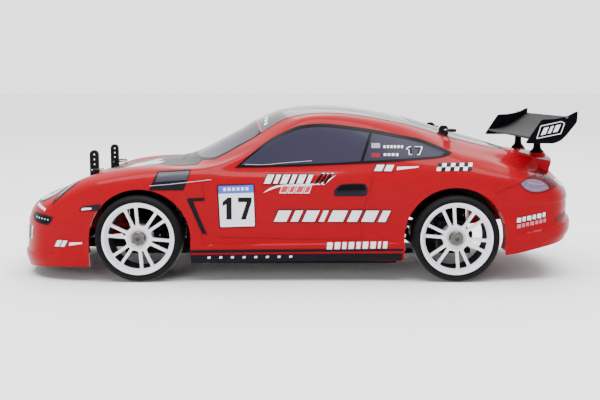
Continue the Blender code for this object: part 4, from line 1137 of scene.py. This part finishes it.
def side_marks():
    """Seams, vents, the door handle and the sill band on the sides."""
    vent = [(-76.5, 60.3), (-58.1, 61.3), (-62, 50.3), (-80.8, 50.3)]
    sticker("fender_patch", "left", rounded(vent, 0.6, 3), "decal_black", 0.14)
    sticker("fender_patch_top", "left", [(-75.9, 59.6), (-59.1, 60.5), (-60.3, 56.0), (-77.6, 54.8)],
            "carbon", 0.2)
    # A thin pale line along the fender crease is a painted highlight.
    sticker("fender_crease_highlight", "left", strip([(-80.4, 52.8), (-70, 53.6), (-60, 54.6), (-47, 56.0)], 0.28),
            "pale", 0.3)
    slit = [(-60.2, 45.9), (-50.8, 46.2), (-50.8, 44.5), (-57.0, 44.2), (-49.6, 25.8), (-52.4, 26.5),
            (-59.9, 44.2)]
    sticker("fender_slit", "left", slit, "decal_black", 0.16)
    marker = [(-117.6, 41.5), (-107.1, 42.9), (-108.9, 39), (-119.7, 38.7)]
    sticker("side_marker", "left", rounded(marker, 0.9, 3), "lamp_dark", 0.16)
    bar = rounded([(-118.3, 39.3), (-112.6, 39.8), (-112.2, 40.8), (-117.2, 40.6)], 0.3, 3)
    sticker("side_marker_bar", "left", bar, "white", 0.26)
    seams = (
        ("door_rear", 0.35, [(41.6, 63.6), (41.4, 59), (40.2, 52), (37.8, 45), (35.8, 36), (35.4, 27),
                             (36.6, 22.5)]),
        ("door_front", 0.35, [(-47.5, 61.5), (-51.3, 56), (-51.6, 50.6), (-51, 47)]),
        ("door_sill", 0.3, [(-44, 24.4), (-10, 23.4), (20, 23.0), (36.6, 22.6)]),
        ("quarter", 0.35, [(108.2, 48.8), (113.5, 51.2), (121.0, 53.9)]),
    )
    for seam, width, line in seams:
        sticker(f"{seam}_seam", "left", strip(curve(line, 4), width), "red_line", 0.1)
    recess = rounded([(20.0, 46.9), (37.8, 46.9), (38.6, 51.0), (36.8, 54.0), (23.5, 53.4), (20.0, 50.4)],
                     3.2, 6)
    sticker("handle_recess", "left", recess, "lamp_dark", 0.12)
    grip = rounded([(21.2, 49.8), (37.6, 50.4), (36.2, 53.3), (24.0, 52.8)], 1.3, 5)
    sticker("handle_grip", "left", grip, "gloss_black", 0.7)
    upper = [(-58.6, 15.9), (-40, 15.95), (0, 16.3), (57.6, 17.0), (58.2, 18.2), (0, 17.9), (-58.8, 17.5)]
    sticker("skirt_line", "left", upper, "decal_black", 0.3, 1.7)
    lower = [(-58.6, 9.95), (-35, 10.45), (-5, 11.05), (30, 11.35), (57.2, 11.65), (57.6, 15.6), (0, 15.2),
             (-58.8, 14.7)]
    sticker("skirt_band", "left", lower, "decal_black", 0.42, 1.7)
    dashes = [[(x, z), (x + 1.6, z), (x + 1.8, z + 1.1), (x + 0.2, z + 1.1)]
              for x, z in ((-49.4 + 6.4 * k, 12.9 + 0.06 * k) for k in range(8))]
    marks("skirt_dashes", "left", dashes, "white", 0.62)


def graphics():
    """Plain bars and chips where the real car has its lettering."""
    marks("door_bars", "left", slashes(-13, 51, 32.9, 39.1, (5, 3, 5, 2, 6, 4, 5, 3), 1.6),
          "white", 0.3, 0.55)
    marks("upper_bars", "left", slashes(-18.4, 8.8, 53.8, 58.4, (3, 2, 3, 2, 3, 2), 1.1), "white", 0.3, 0.5)
    marks("upper_bars_dark", "left", slashes(8.8, 19.6, 53.6, 59.0, (1.6, 1.2, 1.6), 1.0, 0.8),
          "gloss_black", 0.3, 0.4, "white")
    marks("swoosh_red", "left", slashes(-9.5, 7.5, 49.0, 52.4, (2, 1.4, 2, 1.4), 0.9),
          "red_sign", 0.3, 0.45, "white")
    swoosh = [*curve([(-18.7, 48.8), (-14.5, 51.6), (-8.5, 53.2), (4, 53.6), (14, 54.6), (21.2, 58.6)], 5),
              *curve([(15.5, 53.8), (4, 52.8), (-8.2, 52.4), (-13.6, 50.9)], 4)]
    marks("swoosh", "left", [swoosh], "white", 0.26)
    marks("sill_bars", "left", slashes(16, 49.4, 17.9, 21.2, (2, 2, 1.5, 2, 1.5, 2, 2, 1, 1.5), 0.9, 0.15,
                                       0.02),
          "white", 0.4)
    marks("belt_bars", "left", slashes(42, 53, 60.6, 63.8, (3, 3), 0.9, 0.5), "white", 0.28, 0.35)
    marks("belt_tail", "left", [[(54.2, 61.2), (66, 62.6), (66, 63.2), (54.6, 62.8)]], "white", 0.28)
    dark = []
    light = []
    for i in range(8):
        for k in range(2):
            x0, z0 = 75.6 + 2.4 * i + 0.6 * k, 60.9 + 1.95 * k + 0.02 * i
            cell = [(x0, z0), (x0 + 2.4, z0), (x0 + 3.0, z0 + 1.95), (x0 + 0.6, z0 + 1.95)]
            (dark if (i + k) % 2 else light).append(cell)
    marks("checker_light", "left", light, "white", 0.24)
    marks("checker_dark", "left", dark, "decal_black", 0.24)
    marks("tail_bars_high", "left",
          slashes(119.8, 136.6, 32.7, 35.2, (2, 1.6, 2, 1.6, 2, 1.4), 0.7, 0.1, 0.17), "white", 0.26, 0.3)
    marks("tail_bars_low", "left",
          slashes(119.9, 137.0, 29.6, 31.7, (2, 1.6, 1.6, 2, 1.6, 1.6, 1.4), 0.7, 0.1, 0.17), "faded", 0.26)
    marks("nose_top_bars", "left", slashes(-146.4, -139.8, 39.8, 41.3, (2, 1.6, 2, 1.6), 0.6, 0.2, -0.36),
          "white", 0.26)
    marks("nose_bars", "left", slashes(-134, -126.4, 18.9, 22.4, (2.6, 2.4), 0.7, 0.5), "white", 0.26, 0.3)
    marks("nose_tail", "left", [[(-125.6, 19.6), (-118.2, 20.8), (-118.2, 21.6), (-125.2, 21.4)]],
          "white", 0.26)
    marks("chips_high", "left", [[(40.9, 72.6), (45.7, 72.6), (45.7, 75.2), (40.9, 75.2)]], "grey", 0.46)
    marks("chips_low", "left", [[(40.7, 67.6), (45.5, 67.6), (45.5, 70.0), (40.7, 70.0)]], "lamp_red", 0.46)
    marks("pane_dashes", "left", [*slashes(47.4, 58.4, 72.6, 74.0, (1, 1, 1, 1, 1, 1), 0.6, 0.1),
                                  *slashes(47.4, 55.6, 68.4, 69.8, (1, 1, 1, 1), 0.6, 0.1)], "white", 0.46)
    marks("sunstrip_bars", "top", [[(-19.0, y), (-17.2, y), (-17.2, y + 2.4), (-19.0, y + 2.4)]
                                   for y in (-30.6, -26.6, -22.6, 20.2, 24.2, 28.2)], "white", 0.3)
    roof_bars = slashes(0, 40, 24.0, 25.4, (4, 3, 4, 3, 4, 3), 1.4, 0.4)
    marks("roof_bars", "top", [*roof_bars, *[[(x, -y) for x, y in bar[::-1]] for bar in roof_bars]],
          "grey", 0.3)


DIGITS = {
    "1": ((0.34, 0), (0.70, 0), (0.70, 1), (0.44, 1), (0.10, 0.80), (0.10, 0.60), (0.34, 0.70)),
    "7": ((0.04, 1), (0.96, 1), (0.96, 0.84), (0.56, 0), (0.22, 0), (0.62, 0.79), (0.04, 0.79)),
}


def number(name, text, x, z, width, height, colour, lift):
    """The start number, written the right way round on both sides."""
    for side_name, side in SIDES:
        shapes = []
        for k, digit in enumerate(text):
            offset = (k - (len(text) - 1) / 2) * width * 1.08
            flat = []
            for u, v in DIGITS[digit]:
                across = offset + (u - 0.5) * width
                flat.append((x - side * across, z + (v - 0.5) * height))
            shapes.append(patch(side_name, flat, lift, 1.8))
        piece(f"{name}_{side_name}", merged(*shapes), colour)


def boards():
    """The board with the start number, and the number on the rear side window."""
    border = rounded([(-43.9, 53.1), (-23.6, 53.8), (-22.8, 29.9), (-42.9, 29.3)], 0.8, 3)
    sticker("board_border", "left", border, "decal_black", 0.14)
    field = rounded([(-43.2, 52.6), (-24.1, 53.2), (-23.4, 30.4), (-42.3, 29.9)], 0.6, 3)
    sticker("board_field", "left", field, "white", 0.2)
    sticker("board_header", "left", [(-43.2, 52.6), (-24.1, 53.2), (-23.9, 48.9), (-43.0, 48.3)],
            "blue", 0.26)
    marks("board_dashes", "left", slashes(-40.5, -26.8, 49.9, 51.6, (1, 1, 1, 1, 1, 1), 0.6, 0.0, 0.03),
          "white", 0.34)
    number("board_number", "17", -33.2, 40.2, 8.2, 12.2, "decal_black", 0.28)
    number("pane_number", "17", 64.4, 71.2, 4.6, 4.4, "white", 0.46)
    number("pane_number_core", "17", 64.4, 71.2, 3.9, 3.7, "decal_black", 0.52)


def lamps():
    """Headlamps, tail lamps and the openings at the nose and tail."""
    for side_name, side in SIDES:
        ring = oval(side * 41.2, 48.3, 7.4, 6.4, side * -0.5)
        glass = oval(side * 41.2, 48.3, 6.4, 5.4, side * -0.5)
        marks(f"headlamp_border_{side_name}", "nose", [ring], "gloss_black", 0.16)
        marks(f"headlamp_{side_name}", "nose", [glass], "lamp", 0.3)
        bulbs = [oval(side * 43.4, 49.2, 2.5, 2.5), oval(side * 38.4, 47.6, 2.0, 2.0)]
        marks(f"headlamp_bulbs_{side_name}", "nose", bulbs, "white", 0.4)
        slot = rounded([(side * 26, 19.5), (side * 44, 21), (side * 44, 27.5), (side * 28, 28)], 2)
        marks(f"nose_slot_{side_name}", "nose", [slot], "decal_black", 0.2)
    marks("nose_intake", "nose", [rounded([(-21, 19), (21, 19), (19, 27.5), (-19, 27.5)], 2.5)],
          "decal_black", 0.2)
    fog = [(-149.4, 34.0), (-148.6, 36.4), (-146.0, 37.0), (-134.6, 35.0), (-136.4, 31.5), (-138.8, 30.2),
           (-146.4, 31.4)]
    sticker("fog_lamp_border", "left", rounded(fog, 0.8, 3), "lamp_dark", 0.14)
    inner = [(-148.4, 34.0), (-147.6, 35.5), (-145.8, 36.0), (-136.2, 34.4), (-137.4, 32.0), (-139.2, 31.1),
             (-146.0, 32.3)]
    sticker("fog_lamp", "left", rounded(inner, 0.7, 3), "gloss_black", 0.24)
    marks("fog_lamp_dots", "left",
          [oval(-145.6 + 1.9 * k, 34.2 - 0.22 * k, 0.45, 0.5, 0, 12) for k in range(5)], "pale", 0.34)
    sliver = [*curve([(-135.7, 41.6), (-131.6, 45.2), (-127.5, 48.7), (-124, 51.5), (-120.4, 54.7)], 4),
              *curve([(-121.4, 55.3), (-125.2, 53.0), (-128.6, 50.5), (-131.8, 47.6), (-134.8, 43.8)], 4)]
    sticker("headlamp_side_border", "left", sliver, "lamp_dark", 0.2, 1.2)
    shine = [*curve([(-133.6, 44.2), (-130.6, 47.1), (-126.8, 50.3), (-123.4, 52.8)], 4),
             *curve([(-124.6, 52.6), (-128.0, 50.2), (-130.8, 47.8)], 4)]
    sticker("headlamp_side_glass", "left", shine, "lamp", 0.32, 1.2)
    sticker("nose_light", "left", strip([(-150.4, 21.4), (-150.2, 25), (-149.4, 28.6)], 1.0), "white", 0.2)
    tail = [*curve([(121.0, 53.9), (122.6, 51.8), (125.0, 50.0), (129.6, 48.4), (135.5, 48.9),
                    (140.1, 50.1), (145.0, 51.1)], 4),
            *curve([(142.8, 54.6), (140.5, 57.2), (136.2, 59.2), (131.6, 58.3), (126.1, 56.4)], 4)]
    sticker("tail_lamp", "left", tail, "lamp_wine", 0.16, 1.6)
    clear = [*curve([(121.9, 53.8), (123.6, 51.7), (126.6, 49.9), (130.6, 49.2), (135.4, 49.6),
                     (138.6, 50.6)], 4),
             *curve([(137.6, 52.4), (134.8, 54.4), (131.0, 55.6), (126.6, 55.8), (124.0, 55.0)], 4)]
    sticker("tail_lamp_clear", "left", clear, "lamp_blue", 0.28, 1.6)
    streaks = [strip(curve([(124.4, 52.2), (127.6, 50.7), (132.0, 50.4), (136.4, 51.2)], 4), 0.35),
               strip(curve([(126.0, 54.4), (129.4, 53.4), (132.8, 53.0), (135.8, 53.0)], 4), 0.35)]
    marks("tail_lamp_streaks", "left", streaks, "faded", 0.36)
    bands = [strip([(134.6, 56.9), (137.0, 57.5), (139.4, 58.0)], 0.9),
             strip([(136.8, 55.1), (139.0, 55.6), (141.4, 56.1)], 0.9),
             strip([(139.0, 53.2), (141.0, 53.6), (143.2, 54.1)], 0.9)]
    marks("tail_lamp_stripes", "left", bands, "lamp_dark", 0.34)
    for side_name, side in SIDES:
        lamp = rounded([(side * 25, 50.4), (side * 45, 50.4), (side * 44, 54.6), (side * 27, 54.2)], 1.5)
        marks(f"tail_lamp_rear_{side_name}", "tail", [lamp], "lamp_red", 0.2)
        boss = lathe([(0, 66), (4.9, 66), (4.9, 67.9), (4.6, 68.4), (4.1, 68.68), (0, 68.68)], "Z",
                     (STAY[0], side * STAY[1], 0), 40)
        piece(f"wing_boss_{side_name}", boss, "red", smooth=50)
    sticker("corner_slot", "left",
            rounded([(143.0, 31.7), (151.6, 33.7), (151.6, 36.6), (143.6, 34.7)], 0.6, 3), "red_line", 0.2)
    marks("diffuser", "tail", [rounded([(-30, 24.6), (30, 24.6), (27, 29.6), (-27, 29.6)], 1.6)],
          "decal_black", 0.2)
    # The plate recess is painted a darker red as painted shade.
    marks("plate_recess", "tail", [rounded([(-16, 35), (16, 35), (16, 42), (-16, 42)], 1.2)],
          "red_painted_shade", 0.16)
    marks("tail_stripe", "tail", [rounded([(-24, 51.2), (24, 51.2), (24, 53.4), (-24, 53.4)], 0.8)],
          "lamp_dark", 0.2)


windows()
hood()
side_marks()
graphics()
boards()
lamps()


for node, thing in frame["nodes"].items():
    slot = next(row["material_slot"] for row in frame["record"]["subparts"] if row["node"] == node)
    names = {"shell": "red", "trim": "nylon", "gloss_black": "gloss_black", "tyre": "tyre",
    "rim": "white_rim",
             "steel": "steel", "aluminium": "aluminium", "battery": "battery", "gear": "gear"}
    thing.data.materials.clear()
    thing.data.materials.append(paint(names[slot]))


def corners(box):
    return [list(map(float, corner)) for corner in box]
